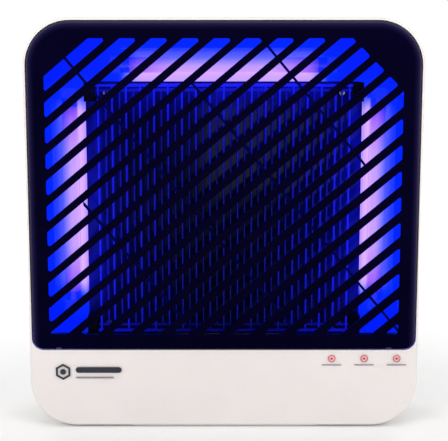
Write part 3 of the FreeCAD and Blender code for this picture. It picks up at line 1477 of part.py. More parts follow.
def make_wiring():
    """High-voltage leads to the grid, mains leads from the inlet and switch, and leads to the tubes."""
    resistor_top, shelf = value("deck_z") + value("resistor_height"), value("shelf_bottom")
    resistor_y = value("hv_back_y") - 13
    bracket_x = -value("insulator_high")
    routes = {}
    for kind, (hole_x, hole_y) in LEAD_HOLES.items():
        x, y = number(hole_x), number(hole_y)
        rail_y, rail_z = value(f"{kind}_y"), value(f"{kind}_bottom")
        routes[kind] = [
            (x, resistor_y, resistor_top), (x, resistor_y, resistor_top + 20), (x, y, shelf - 16),
            (x, y, shelf + value("wall") + 5.5), (bracket_x - 9, rail_y, rail_z), (bracket_x, rail_y, rail_z),
        ]
    node(group("hv_leads", [lead(f"hv_lead_{kind}", points) for kind, points in routes.items()]))

    block_x, block_z = value("terminal_x"), value("terminal_z")
    pin_x = value("half") - value("inlet_depth") - 5
    switch_x = value("switch_x") - value("switch_body_depth") - value("tab_length")
    neutral_y = value("inlet_y") + value("inlet_pin_spacing") / 2
    live_y = value("inlet_y") - value("inlet_pin_spacing") / 2
    fed_y = value("switch_y") - value("switch_tab_offset")
    switched_y = value("switch_y") + value("switch_tab_offset")
    level = value("inlet_z")
    supply_x, supply_y = (number(text) for text in SUPPLY_HOLE)
    board_y, board_low = value("board_y") + value("board_thickness") / 2, value("board_low")
    routes = {
        "neutral": [(pin_x, neutral_y, level), (pin_x - 14, neutral_y, level),
                    (pin_x - 36, neutral_y - 10, level - 10), (block_x, TERMINALS[2], block_z + 18),
                    (block_x, TERMINALS[2], block_z)],
        "live": [(pin_x, live_y, level), (pin_x - 12, live_y, level),
                 (pin_x - 20, (live_y + fed_y) / 2, level + 4), (switch_x - 10, fed_y, level),
                 (switch_x, fed_y, level)],
        "switched": [(switch_x, switched_y, level), (switch_x - 12, switched_y, level),
                     (switch_x - 38, switched_y + 3, level - 14), (block_x, TERMINALS[1], block_z + 20),
                     (block_x, TERMINALS[1], block_z)],
        "supply": [(block_x, TERMINALS[3], block_z), (block_x, TERMINALS[3], block_z + 16),
                   (supply_x, supply_y, shelf - 18), (supply_x, supply_y, shelf + 24),
                   (68, supply_y - 3, board_low - 38), (60, board_y, board_low - 14),
                   (60, board_y, board_low)],
    }
    node(group("mains_leads", [lead(f"mains_lead_{kind}", points) for kind, points in routes.items()]))

    back, board_high = value("chassis_back_y"), value("board_high")
    side_x, side_z = value("tube_x") - 8, value("side_tube_z") + 60
    top_z = value("tube_z") - 18
    routes = {
        "top": [(0, board_y, board_high), (0, board_y, board_high + 20), (-3, back + 7, board_high + 70),
                (0, back + 12, top_z), (0, back, top_z)],
    }
    for tag, sign in (("left", -1), ("right", 1)):
        routes[tag] = [
            (sign * 60, board_y, board_high), (sign * 60, board_y, board_high + 14),
            (sign * (side_x - 24), back + 7, side_z), (sign * side_x, back + 10, side_z + 18),
            (sign * side_x, back, side_z + 18),
        ]
    node(group("tube_leads", [lead(f"tube_lead_{kind}", points) for kind, points in routes.items()]))


make_front_housing()
make_rear_housing()
make_housing_screws()
make_feet()
make_grille_cover()
make_hinge_and_latch()
make_interlock()
make_electrode_grid("electrode_grid_live", "live_y", 0, "live_bottom", "live_top")
make_electrode_grid("electrode_grid_return", "return_y", 1, "return_bottom", "return_top")
make_grid_insulators()
make_backplate()
for tube in TUBES:
    make_tube(tube)
make_reflectors()
make_chassis()
make_chute()
make_tray()
make_inlet()
make_rocker_switch()
make_ballast()
make_high_voltage_supply()
make_terminal_block()
make_wiring()

# ---------------------------------------------------------------- checks and files

doc.recompute()
for thing in doc.Objects:
    faults = [state for state in thing.State if state in ("Invalid", "Error")]
    if faults:
        raise RuntimeError(f"{thing.Label} did not compute: {faults}")
for piece in nodes:
    if piece.Shape.isNull() or not piece.Shape.isValid():
        raise RuntimeError(f"{piece.Label} has no valid shape")

os.makedirs("parts", exist_ok=True)
for piece in nodes:
    piece.Shape.exportStep(os.path.join("parts", f"{piece.Label}.step"))
    print(f"{piece.Label}: {len(piece.Shape.Solids)} solids, {piece.Shape.Volume / 1000:.2f} cm3")
print(f"{len(nodes)} nodes")
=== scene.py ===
"""Looks of an electric bug zapper: a pale moulded housing, a black louvred cover and three violet tubes."""
import math

import bmesh
import bpy
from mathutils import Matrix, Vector


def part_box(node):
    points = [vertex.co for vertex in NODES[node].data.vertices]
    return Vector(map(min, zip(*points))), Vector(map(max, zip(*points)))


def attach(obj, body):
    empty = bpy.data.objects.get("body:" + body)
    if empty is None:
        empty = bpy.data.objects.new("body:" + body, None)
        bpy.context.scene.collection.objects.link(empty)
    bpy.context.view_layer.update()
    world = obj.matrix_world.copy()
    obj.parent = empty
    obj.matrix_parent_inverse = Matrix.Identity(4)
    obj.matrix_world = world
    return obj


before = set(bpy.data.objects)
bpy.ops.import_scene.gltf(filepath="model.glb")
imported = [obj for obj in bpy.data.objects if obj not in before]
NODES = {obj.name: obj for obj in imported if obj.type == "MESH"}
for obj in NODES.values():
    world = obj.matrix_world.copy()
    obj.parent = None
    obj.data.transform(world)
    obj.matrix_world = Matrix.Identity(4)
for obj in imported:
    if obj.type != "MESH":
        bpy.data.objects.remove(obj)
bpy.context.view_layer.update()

MM = 0.001
SCENE = bpy.context.scene

# ---------------------------------------------------------------- places read from model.glb

HOUSING_LOW, HOUSING_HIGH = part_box("front_housing")
COVER_LOW, COVER_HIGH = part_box("grille_cover")
CHASSIS_LOW, CHASSIS_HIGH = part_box("chassis_plate")
TRAY_LOW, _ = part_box("collection_tray")


def middle(node):
    """The middle of a node's box."""
    low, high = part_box(node)
    return (low + high) / 2


def half_length(node, axis):
    """Half of a node's length along an axis, 0 for x to 2 for z."""
    low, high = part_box(node)
    return (high[axis] - low[axis]) / 2


SIDE_TUBE_X = middle("uv_tube_right").x
SIDE_TUBE_Z = middle("uv_tube_right").z
SIDE_TUBE_HALF = half_length("uv_tube_right", 2)
TOP_TUBE_Z = middle("uv_tube_top").z
TOP_TUBE_HALF = half_length("uv_tube_top", 0)
TUBE_RADIUS = half_length("uv_tube_right", 0)
TROUGH_MOUTH_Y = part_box("tube_reflector_right")[0].y

HOUSING_CORNER = 47 * MM    # corner radii, seen from the front
COVER_CORNER = 44 * MM
WALL = 2.5 * MM
WINDOW_SIDE = 19.5 * MM     # from the cover's side to its window
WINDOW_FOOT = 15 * MM       # from the cover's upper and lower edges to its window
SLAT_DEPTH = 6 * MM         # the painted glow inside the cover's slots is full this far behind its face
PAINTED_ROLL_SHEEN_REACH = 10 * MM        # the cover's rolled edge is painted paler, as a sheen, over this distance
LEDGE_DEPTH = 4 * MM        # from the cover's back to behind the housing's ledge
TRAY_LIP = 1.3 * MM
LAMINATION = 0.7 * MM       # one layer of a laminated core


# ---------------------------------------------------------------- shader building

class Shader:
    """One Principled material, and short calls that add nodes to it."""

    def __init__(self, name, **values):
        self.material = bpy.data.materials.new(name)
        self.material.use_nodes = True
        self.tree = self.material.node_tree
        self.tree.nodes.clear()
        self.output = self.tree.nodes.new("ShaderNodeOutputMaterial")
        self.surface = self.tree.nodes.new("ShaderNodeBsdfPrincipled")
        self.link(self.surface.outputs["BSDF"], self.output.inputs["Surface"])
        coordinates = self.tree.nodes.new("ShaderNodeTexCoord")
        self.position = coordinates.outputs["Object"]
        self.base = None
        for socket, value in values.items():
            self.surface.inputs[socket.replace("_", " ")].default_value = value

    def link(self, source, target):
        self.tree.links.new(source, target)

    def put(self, source, socket):
        self.link(source, self.surface.inputs[socket])

    def emit(self, colour, strength=1.0):
        self.put(colour, "Emission Color")
        self.surface.inputs["Emission Strength"].default_value = strength

    def feed(self, socket, value):
        """Connects an output, or writes a plain number, to a node's input."""
        if isinstance(value, bpy.types.NodeSocket):
            self.link(value, socket)
        else:
            socket.default_value = value

    def math(self, operation, *values):
        node = self.tree.nodes.new("ShaderNodeMath")
        node.operation = operation
        for socket, value in zip(node.inputs, values):
            self.feed(socket, value)
        return node.outputs[0]

    def length(self, first, second):
        """The hypotenuse over two lengths."""
        squares = [self.math("POWER", side, 2.0) for side in (first, second)]
        return self.math("SQRT", self.math("ADD", *squares))

    def split(self):
        node = self.tree.nodes.new("ShaderNodeSeparateXYZ")
        self.link(self.position, node.inputs[0])
        return node.outputs

    def stretch(self, scale):
        node = self.tree.nodes.new("ShaderNodeMapping")
        self.link(self.position, node.inputs["Vector"])
        node.inputs["Scale"].default_value = scale
        return node.outputs[0]

    def noise(self, size, detail=3.0, vector=None):
        """Noise whose features are about `size` metres across."""
        node = self.tree.nodes.new("ShaderNodeTexNoise")
        self.link(vector or self.position, node.inputs["Vector"])
        node.inputs["Scale"].default_value = 1.0 / size
        node.inputs["Detail"].default_value = detail
        node.inputs["Roughness"].default_value = 0.55
        return node.outputs["Fac"]

    def ramp(self, factor, stops):
        node = self.tree.nodes.new("ShaderNodeValToRGB")
        self.feed(node.inputs["Fac"], factor)
        elements = node.color_ramp.elements
        while len(elements) < len(stops):
            elements.new(0.5)
        for element, (place, colour) in zip(elements, stops):
            element.position = place
            element.color = (*colour, 1.0)
        return node.outputs["Color"]

    def spread(self, factor, low, high, start=0.3, stop=0.7):
        """Maps a factor's usual span, start to stop, to the numbers low to high."""
        node = self.tree.nodes.new("ShaderNodeMapRange")
        self.feed(node.inputs["Value"], factor)
        node.inputs["From Min"].default_value = start
        node.inputs["From Max"].default_value = stop
        node.inputs["To Min"].default_value = low
        node.inputs["To Max"].default_value = high
        return node.outputs["Result"]

    def blend(self, factor, first, second, mode="MIX"):
        node = self.tree.nodes.new("ShaderNodeMix")
        node.data_type = "RGBA"
        node.blend_type = mode
        self.feed(node.inputs["Factor"], factor)
        self.feed(node.inputs["A"], first)
        self.feed(node.inputs["B"], second)
        return node.outputs["Result"]

    def multiply(self, first, second):
        return self.blend(1.0, first, second, "MULTIPLY")

    def bump(self, height, strength, depth, under=None):
        node = self.tree.nodes.new("ShaderNodeBump")
        node.inputs["Strength"].default_value = strength
        node.inputs["Distance"].default_value = depth
        self.link(height, node.inputs["Height"])
        if under is not None:
            self.link(under, node.inputs["Normal"])
        return node.outputs["Normal"]

    def inside(self, value, low, high):
        """1 where low < value < high."""
        above = self.math("GREATER_THAN", value, low)
        below = self.math("LESS_THAN", value, high)
        return self.math("MULTIPLY", above, below)


def tint(colour, factor):
    """A colour made darker or paler, up to full white."""
    return tuple(min(1.0, channel * factor) for channel in colour)


GLOW_INSET = 9 * MM         # the painted light on the reflectors, and the tubes' own glow, are brightest towards the plate
GLOW_LIFT = 2 * MM          # the side tubes glow a little higher than they stand, and so does the light painted round them
GLOW_SHORT = 12 * MM        # a tube's ends are dimmer, and so is the light painted beside them
GLOW_REACH = 170 * MM       # the tubes' light painted on what is round them is at its weakest from here on
TUBE_FADE = 50 * MM         # length over which a tube's end fades
# colours of the tubes' light, painted as glow on the parts round them, from near to far
NEAR_BLUE = (0.001, 0.022, 1.0)
BLUE = (0.0, 0.012, 0.95)
DEEP_BLUE = (0.0, 0.004, 0.42)
NIGHT = (0.0, 0.0, 0.03)
# painted glow colours for the grid's wires and the black backplate
GRID_BLUE = (0.006, 0.010, 1.0, 1.0)
PLATE_BLUE = (0.004, 0.008, 1.0, 1.0)
PAINTED_BLUE_LIT_WHITE = (0.02, 0.03, 0.30, 1.0)         # painted light: white plastic's colour painted as it looks in the tubes' blue light
PAINTED_BLUE_LIT_LEAD = (0.01, 0.01, 0.20, 1.0)          # the same painted light, for a wire's sleeve
BLACK = (0.0, 0.0, 0.0, 1.0)
HOT_STOPS = (               # (metres from a tube's glowing line, colour): the glow close to a tube, also painted on the parts round it
    (0.0, (0.62, 0.36, 1.0)),
    (7.0 * MM, (0.52, 0.31, 1.0)),
    (10.5 * MM, (0.36, 0.24, 1.0)),
    (14.0 * MM, (0.19, 0.17, 1.0)),
    (17.0 * MM, (0.09, 0.11, 1.0)),
    (20.0 * MM, (0.03, 0.06, 1.0)),
    (24.0 * MM, (0.005, 0.032, 1.0)),
)
COOL_STOPS = (              # the same, further off
    (27.0 * MM, NEAR_BLUE),
    (50.0 * MM, BLUE),
    (85.0 * MM, BLUE),
    (127.0 * MM, DEEP_BLUE),
    (GLOW_REACH, NIGHT),
)
GRID_LEVELS = (             # (metres from a tube's glowing line, how much painted blue light a wire shows)
    (0.0, 1.0),
    (20 * MM, 0.85),
    (48 * MM, 0.50),
    (105 * MM, 0.12),
    (GLOW_REACH, 0.08),
)
PLATE_LEVELS = (            # the same, for the black backplate
    (0.0, 0.30),
    (19 * MM, 0.30),
    (28 * MM, 0.15),
    (48 * MM, 0.035),
    (105 * MM, 0.008),
    (GLOW_REACH, 0.003),
)


def tube_distance(shader):
    """Distance in metres, seen from the front, to the nearest of the three tubes' glowing lines."""
    x, _, z = shader.split()
    width = shader.math("ABSOLUTE", x)
    across = shader.math("SUBTRACT", width, SIDE_TUBE_X - GLOW_INSET)
    height = shader.math("ABSOLUTE", shader.math("SUBTRACT", z, SIDE_TUBE_Z + GLOW_LIFT))
    past = shader.math("MAXIMUM", shader.math("SUBTRACT", height, SIDE_TUBE_HALF - GLOW_SHORT), 0.0)
    rise = shader.math("SUBTRACT", z, TOP_TUBE_Z - GLOW_INSET)
    over = shader.math("MAXIMUM", shader.math("SUBTRACT", width, TOP_TUBE_HALF - GLOW_SHORT), 0.0)
    return shader.math("MINIMUM", shader.length(across, past), shader.length(rise, over))


def by_distance(shader, stops):
    """A colour ramp over the distance from the tubes, with stops of (metres, colour)."""
    reach = shader.math("DIVIDE", tube_distance(shader), GLOW_REACH)
    return shader.ramp(reach, [(far / GLOW_REACH, colour) for far, colour in stops])


def falloff(shader, stops):
    """A grey level that falls with the distance from the tubes, with stops of (metres, level)."""
    return by_distance(shader, [(far, (level, level, level)) for far, level in stops])


def glow_colour(shader, hot):
    """Light of the tubes, painted on what is round them: lilac close to a tube, saturated blue further off.
    """
    return by_distance(shader, (HOT_STOPS if hot else ()) + COOL_STOPS)


def add_glow(shader, mask, hot=False, strength=1.0):
    """Paints the tubes' light on a surface as emission, where the mask is 1."""
    colour = glow_colour(shader, hot)
    if mask is not None:
        colour = shader.blend(mask, BLACK, colour)
    shader.emit(colour, strength)


# ---------------------------------------------------------------- materials

def moulded(name, colour, roughness, grain, relief=0.10, mottle=0.06, **values):
    """Injection-moulded plastic: spark-eroded grain, slow flow marks and an uneven polish."""
    shader = Shader(name, **values)
    flow = shader.noise(60 * MM, detail=4.0)
    base = shader.ramp(flow, [(0.3, tint(colour, 1.0 - mottle)), (0.7, tint(colour, 1.0 + mottle))])
    shader.put(base, "Base Color")
    polish = shader.noise(9 * MM, detail=5.0)
    shader.put(shader.spread(polish, roughness * 0.85, roughness * 1.15), "Roughness")
    fine = shader.bump(shader.noise(grain, detail=2.0), relief, 0.25 * MM)
    shader.put(shader.bump(flow, 0.08, 0.6 * MM, under=fine), "Normal")
    shader.base = base
    return shader


def metal(name, colour, roughness, along=(1.0, 1.0, 1.0), mottle=0.12, **values):
    """Bare or plated metal, with drawing marks stretched along its length."""
    shader = Shader(name, Metallic=1.0, **values)
    marks = shader.noise(0.5 * MM, detail=4.0, vector=shader.stretch(along))
    cloud = shader.noise(14 * MM, detail=4.0)
    base = shader.ramp(cloud, [(0.3, tint(colour, 1.0 - mottle)), (0.7, tint(colour, 1.0 + mottle))])
    shader.put(base, "Base Color")
    shader.put(shader.spread(marks, roughness * 0.7, roughness * 1.4), "Roughness")
    shader.put(shader.bump(marks, 0.12, 0.1 * MM), "Normal")
    return shader


def edge_depth(shader, low, high, corner):
    """How far a point lies inside a rounded rectangle seen from the front, up to the corner radius."""
    x, _, z = shader.split()
    across = shader.math("SUBTRACT", shader.math("ABSOLUTE", x), high.x - corner)
    rise = shader.math("ABSOLUTE", shader.math("SUBTRACT", z, (low.z + high.z) / 2))
    up = shader.math("SUBTRACT", rise, (high.z - low.z) / 2 - corner)
    past = shader.length(shader.math("MAXIMUM", across, 0.0), shader.math("MAXIMUM", up, 0.0))
    return shader.math("SUBTRACT", corner, past)


def housing_white():
    """Warm white plastic, whose inner walls between cover and chassis carry painted blue light: a painted
    glow over a blue base colour.
    """
    shader = moulded("housing_white", (0.75, 0.70, 0.682), 0.40, 0.7 * MM, mottle=0.025,
                     Subsurface_Weight=0.06, Subsurface_Scale=1.5 * MM, Specular_IOR_Level=0.42)
    _, y, z = shader.split()
    inner = edge_depth(shader, HOUSING_LOW, HOUSING_HIGH, HOUSING_CORNER)
    within = shader.math("GREATER_THAN", inner, WALL / 2)
    depth = shader.inside(y, COVER_HIGH.y + LEDGE_DEPTH, CHASSIS_LOW.y)
    height = shader.math("GREATER_THAN", z, COVER_LOW.z + WALL)
    mask = shader.math("MULTIPLY", within, shader.math("MULTIPLY", depth, height))
    # painted light on the inner walls: the tubes' glow, and a blue base colour in place of the white
    add_glow(shader, mask)
    shader.put(shader.blend(mask, shader.base, PAINTED_BLUE_LIT_WHITE), "Base Color")
    return shader.material


def cover_black():
    """Blue-black plastic, with a painted sheen along the rolled sides and top and a faint painted glow
    inside its slots.
    """
    shader = moulded("cover_black", (0.0014, 0.0010, 0.0105), 0.36, 0.5 * MM, relief=0.05,
                     mottle=0.15, Specular_IOR_Level=0.0)
    x, y, z = shader.split()
    across = shader.math("LESS_THAN", shader.math("ABSOLUTE", x), COVER_HIGH.x - WINDOW_SIDE)
    up = shader.inside(z, COVER_LOW.z + WINDOW_FOOT, COVER_HIGH.z - WINDOW_FOOT)
    depth = shader.spread(y, 0.0, 1.0, COVER_LOW.y + MM, COVER_LOW.y + SLAT_DEPTH)
    window = shader.math("MULTIPLY", across, up)
    # painted glow, faint, inside the slots
    add_glow(shader, shader.math("MULTIPLY", depth, window), strength=0.10)
    far_below = COVER_LOW - Vector((0.0, 0.0, 1.0))
    inner = edge_depth(shader, far_below, COVER_HIGH, COVER_CORNER)
    # painted sheen: the rolled sides and top are painted paler, added to the base colour of a plastic with
    # no specular
    painted_roll_sheen = shader.ramp(shader.math("DIVIDE", inner, PAINTED_ROLL_SHEEN_REACH), [
        (0.0, (0.085, 0.075, 0.115)),
        (0.12, (0.050, 0.043, 0.076)),
        (0.30, (0.0135, 0.0105, 0.032)),
        (0.50, (0.0050, 0.0040, 0.019)),
        (0.70, (0.0016, 0.0012, 0.0055)),
        (0.90, (0.0, 0.0, 0.0)),
    ])
    shader.put(shader.blend(1.0, shader.base, painted_roll_sheen, "ADD"), "Base Color")
    return shader.material


def tube_glass():
    """Milky lit glass, lilac white along its middle and violet towards its two ends."""
    shader = Shader("tube_glass", Roughness=0.18, Specular_IOR_Level=0.3)
    x, _, z = shader.split()
    side = shader.math("SUBTRACT", SIDE_TUBE_HALF,
                       shader.math("ABSOLUTE", shader.math("SUBTRACT", z, SIDE_TUBE_Z)))
    top = shader.math("SUBTRACT", TOP_TUBE_HALF, shader.math("ABSOLUTE", x))
    on_top = shader.math("LESS_THAN", shader.math("ABSOLUTE", x), SIDE_TUBE_X - 2 * TUBE_RADIUS)
    end = shader.math("ADD", shader.math("MULTIPLY", on_top, top),
                      shader.math("MULTIPLY", shader.math("SUBTRACT", 1.0, on_top), side))
    fade = shader.ramp(shader.math("DIVIDE", end, TUBE_FADE), [
        (0.0, (0.25, 0.10, 0.75)),
        (0.25, (0.60, 0.35, 1.0)),
        (0.75, (0.9, 0.8, 1.0)),
        (1.0, (1.0, 1.0, 1.0)),
    ])
    drift = shader.spread(shader.noise(25 * MM), 0.94, 1.0)
    shader.emit(shader.multiply(shader.multiply(glow_colour(shader, True), fade), drift))
    powder = shader.ramp(shader.noise(3 * MM), [(0.3, (0.09, 0.07, 0.2)), (0.7, (0.12, 0.09, 0.25))])
    shader.put(powder, "Base Color")
    return shader.material


def reflector_aluminium():
    """Drawn sheet with its tube's light painted on as glow, brightest towards the plate, over a blue base
    colour for the light on it.
    """
    # painted light: a blue base colour for aluminium in the tubes' light, and the tubes' glow as emission
    shader = metal("reflector_aluminium", (0.04, 0.05, 0.30), 0.28, along=(0.2, 0.2, 0.05))
    add_glow(shader, None, hot=True)
    return shader.material


def chassis_white():
    """Painted sheet, with the tubes' light painted on its front half as glow, over a dark blue base colour
    for its white paint in that light.
    """
    # painted light: a dark blue base for white paint in the tubes' light, and the glow on the front half
    shader = moulded("chassis_white", (0.004, 0.006, 0.12), 0.45, 1.4 * MM, relief=0.2,
                     Specular_IOR_Level=0.08)
    _, y, _ = shader.split()
    front = shader.math("LESS_THAN", y, (CHASSIS_LOW.y + CHASSIS_HIGH.y) / 2)
    add_glow(shader, front, hot=True)
    return shader.material


def holder_white():
    """White plastic, painted as it looks in blue light: a blue base colour, and a painted glow as far down
    as the chassis reaches.
    """
    # painted light: blue base colour for white plastic, and glow above the chassis's lower edge
    shader = moulded("holder_white", (0.02, 0.03, 0.30), 0.4, 0.6 * MM, Specular_IOR_Level=0.15)
    _, _, z = shader.split()
    add_glow(shader, shader.math("GREATER_THAN", z, CHASSIS_LOW.z), strength=0.85)
    return shader.material


def cap_aluminium():
    """The tubes' end caps, with their light painted on: a blue base colour and a painted glow."""
    # painted light: blue base colour for aluminium, and the tubes' glow as emission
    shader = metal("cap_aluminium", (0.05, 0.04, 0.25), 0.30, along=(0.2, 0.2, 0.2))
    add_glow(shader, None, strength=0.8)
    return shader.material


def grid_steel():
    """Zinc-plated wire with the tubes' light painted on as glow over a dark blue base: strong on the front
    grid, much less on the rear one.
    """
    shader = metal("grid_steel", (0.009, 0.013, 0.12), 0.25, along=(1.0, 1.0, 0.08))
    _, y, _ = shader.split()
    front, rear = middle("electrode_grid_live").y, middle("electrode_grid_return").y
    # painted glow: stronger on the front grid than on the rear one, and fading away from the tubes
    lit = shader.spread(y, 1.0, 0.30, front, rear)
    level = falloff(shader, GRID_LEVELS)
    colour = shader.multiply(GRID_BLUE, level)
    shader.emit(shader.multiply(colour, lit))
    return shader.material


def backplate_black():
    """Glossy black sheet with blue light painted on as a patchy glow along the edges next to the tubes."""
    shader = moulded("backplate_black", (0.0010, 0.0010, 0.0030), 0.11, 1.2 * MM, relief=0.03,
                     mottle=0.2, Specular_IOR_Level=0.02)
    # painted glow, in uneven patches, strongest next to the tubes
    level = falloff(shader, PLATE_LEVELS)
    painted_glow_patches = shader.noise(10 * MM, detail=2.0, vector=shader.stretch((1.0, 1.0, 0.3)))
    painted_glow_streaks = shader.spread(painted_glow_patches, 0.4, 1.2)
    colour = shader.multiply(PLATE_BLUE, level)
    shader.emit(shader.multiply(colour, painted_glow_streaks))
    return shader.material


def board_green():
    """Solder mask over copper tracks: a fine orthogonal pattern of slightly lighter strips."""
    shader = moulded("board_green", (0.012, 0.075, 0.030), 0.32, 0.5 * MM, relief=0.05)
    x, y, _ = shader.split()
    lines = []
    for way, pitch in ((x, 5.1 * MM), (y, 3.8 * MM)):
        phase = shader.math("FRACT", shader.math("DIVIDE", way, pitch))
        lines.append(shader.math("GREATER_THAN", phase, 0.55))
    tracks = shader.math("MULTIPLY", *lines)
    shader.put(shader.blend(tracks, shader.base, (0.02, 0.13, 0.05, 1.0)), "Base Color")
    return shader.material


def tray_black():
    """A dark drawer whose floor, seen from below and along its lip, is the housing's white."""
    shader = moulded("tray_black", (0.010, 0.010, 0.012), 0.42, 0.8 * MM, relief=0.2)
    _, _, z = shader.split()
    floor = shader.math("LESS_THAN", z, TRAY_LOW.z + TRAY_LIP)
    shader.put(shader.blend(floor, shader.base, (0.70, 0.66, 0.64, 1.0)), "Base Color")
    return shader.material


def lead(name, colour):
    """Insulated wire with the tubes' light painted on where it runs in front of the chassis: a blue base
    colour and a faint painted glow.
    """
    shader = moulded(name, colour, 0.42, 0.9 * MM, relief=0.08, mottle=0.08)
    _, y, z = shader.split()
    # painted light in front of the chassis: blue base colour and glow
    lit = shader.math("MULTIPLY", shader.math("LESS_THAN", y, CHASSIS_LOW.y),
                      shader.math("GREATER_THAN", z, CHASSIS_LOW.z))
    shader.put(shader.blend(lit, shader.base, PAINTED_BLUE_LIT_LEAD), "Base Color")
    add_glow(shader, lit, strength=0.35)
    return shader.material


def ferrite():
    """Dark laminated core with a lacquered, layered face."""
    shader = moulded("ferrite", (0.045, 0.042, 0.040), 0.5, 0.5 * MM, relief=0.3, mottle=0.2)
    _, _, z = shader.split()
    layer = shader.math("FRACT", shader.math("DIVIDE", z, LAMINATION))
    shader.put(shader.bump(layer, 0.4, 0.15 * MM), "Normal")
    return shader.material


SPECIAL = {
    "housing_white": housing_white,
    "cover_black": cover_black,
    "tube_glass": tube_glass,
    "reflector_aluminium": reflector_aluminium,
    "chassis_white": chassis_white,
    "holder_white": holder_white,
    "cap_aluminium": cap_aluminium,
    "grid_steel": grid_steel,
    "backplate_black": backplate_black,
    "board_green": board_green,
    "ferrite": ferrite,
    "tray_black": tray_black,
}
PLASTICS = {                # colour, roughness, size of the grain, further values
    "foot_rubber": ((0.16, 0.155, 0.15), 0.85, 0.35 * MM, {"relief": 0.5, "mottle": 0.15}),
    "insulator_black": ((0.002, 0.002, 0.010), 0.40, 0.5 * MM, {"Specular_IOR_Level": 0.02}),
    "switch_black": ((0.012, 0.012, 0.013), 0.34, 0.5 * MM, {}),
    "rocker_red": ((0.50, 0.012, 0.010), 0.28, 0.5 * MM, {}),
    "plunger_red": ((0.42, 0.015, 0.012), 0.35, 0.5 * MM, {}),
    "capacitor_sleeve": ((0.02, 0.03, 0.12), 0.22, 0.6 * MM, {}),
    "capacitor_blue": ((0.03, 0.13, 0.42), 0.35, 0.8 * MM, {"relief": 0.3}),
    "potting_black": ((0.015, 0.014, 0.013), 0.25, 3 * MM, {"relief": 0.3}),
}
METALS = {                  # colour, roughness, stretch of the drawing marks
    "zinc_steel": ((0.62, 0.61, 0.58), 0.30, (1.0, 1.0, 1.0)),
    "spring_steel": ((0.55, 0.55, 0.56), 0.22, (0.1, 1.0, 1.0)),
    "brass": ((0.72, 0.52, 0.24), 0.28, (1.0, 1.0, 1.0)),
}
LEADS = {
    "lead_red": (0.42, 0.02, 0.018),
    "lead_brown": (0.13, 0.05, 0.025),
    "lead_white": (0.62, 0.60, 0.56),
}


def finish_of(slot):
    """The finished material of one of the CAD's material slots."""
    if slot in PLASTICS:
        colour, roughness, grain, more = PLASTICS[slot]
        return moulded(slot, colour, roughness, grain, **more).material
    if slot in METALS:
        return metal(slot, *METALS[slot]).material
    if slot in LEADS:
        return lead(slot, LEADS[slot])
    return SPECIAL[slot]()


def dress_nodes():
    """Gives every CAD node the finished material of its slot."""
    plain = {material: material.name for material in bpy.data.materials}
    for material, name in plain.items():
        material.name = name + "_plain"
    finished = {material: finish_of(name) for material, name in plain.items()}
    for node in NODES.values():
        for place in node.material_slots:
            place.material = finished[place.material]


# ---------------------------------------------------------------- edges

EDGE_ANGLE = math.radians(38)
WELD_DISTANCE = 0.002 * MM
EDGE_WIDTHS = {
    "grille_cover": 0.35 * MM,
    "front_housing": 0.5 * MM,
    "rear_housing": 0.5 * MM,
    "collection_tray": 0.4 * MM,
    "backplate": 0.3 * MM,
    "switch_body": 0.3 * MM,
    "rocker_button": 0.4 * MM,
    "power_inlet": 0.3 * MM,
}


def soften(name, width):
    """Joins the split corners of a CAD mesh and rounds its sharp edges a little, as a mould does."""
    node = NODES[name]
    custom = node.data.attributes.get("custom_normal")
    if custom is not None:
        node.data.attributes.remove(custom)
    for polygon in node.data.polygons:
        polygon.use_smooth = True
    weld = node.modifiers.new("join", "WELD")
    weld.merge_threshold = WELD_DISTANCE
    bevel = node.modifiers.new("edge", "BEVEL")
    bevel.limit_method = "ANGLE"
    bevel.angle_limit = EDGE_ANGLE
    bevel.width = width
    bevel.segments = 2
    bevel.harden_normals = True
    bevel.miter_outer = "MITER_ARC"


# ---------------------------------------------------------------- printed marks

MARK_LIFT = 0.12 * MM       # thickness of the ink
EMBLEM_X = 34 * MM          # the hexagon's place, from the housing's left side
EMBLEM_Z = 59.5 * MM
BARS_START = 13 * MM        # from the hexagon's middle to the bars beside it
NOTICE_X = 22.0 * MM        # the last ring's place, from the housing's right side
NOTICE_Z = 73.5 * MM
NOTICE_PITCH = 33.2 * MM


def plate_mesh(name, loops, face_y):
    """A thin plate in the front plane: its outline, with holes, given as loops of (x, z) points."""
    curve = bpy.data.curves.new(name, "CURVE")
    curve.dimensions = "2D"
    curve.fill_mode = "BOTH"
    curve.extrude = MARK_LIFT / 2
    for points in loops:
        spline = curve.splines.new("POLY")
        spline.points.add(len(points) - 1)
        for point, (x, z) in zip(spline.points, points):
            point.co = (x, z, 0.0, 1.0)
        spline.use_cyclic_u = True
    holder = bpy.data.objects.new(name, curve)
    SCENE.collection.objects.link(holder)
    holder.rotation_euler = (math.radians(90), 0.0, 0.0)
    holder.location.y = face_y - MARK_LIFT / 2
    bpy.context.view_layer.update()
    mesh = bpy.data.meshes.new_from_object(holder.evaluated_get(bpy.context.evaluated_depsgraph_get()))
    mesh.transform(holder.matrix_world)
    bpy.data.objects.remove(holder)
    bpy.data.curves.remove(curve)
    mesh.name = name
    piece = bpy.data.objects.new(name, mesh)
    SCENE.collection.objects.link(piece)
    return piece


def regular(centre, radius, sides, turn=0.0):
    """A regular polygon's outline."""
    return [(centre[0] + radius * math.cos(turn + 2 * math.pi * step / sides),
             centre[1] + radius * math.sin(turn + 2 * math.pi * step / sides))
            for step in range(sides)]


def ring(centre, outer, inner, sides, turn=0.0):
    """The two loops of a flat ring."""
    return [regular(centre, radius, sides, turn) for radius in (outer, inner)]


def bar(left, right, centre_z, thickness):
    """A rounded bar's outline, anticlockwise."""
    radius = thickness / 2
    points = []
    for x, start in ((right - radius, -90), (left + radius, 90)):
        for step in range(9):
            angle = math.radians(start + step * 22.5)
            points.append((x + radius * math.cos(angle), centre_z + radius * math.sin(angle)))
    return points


def ink(name, colour):
    """Matt printing ink."""
    shader = moulded(name, colour, 0.5, 0.4 * MM, relief=0.15, mottle=0.12)
    return shader.material


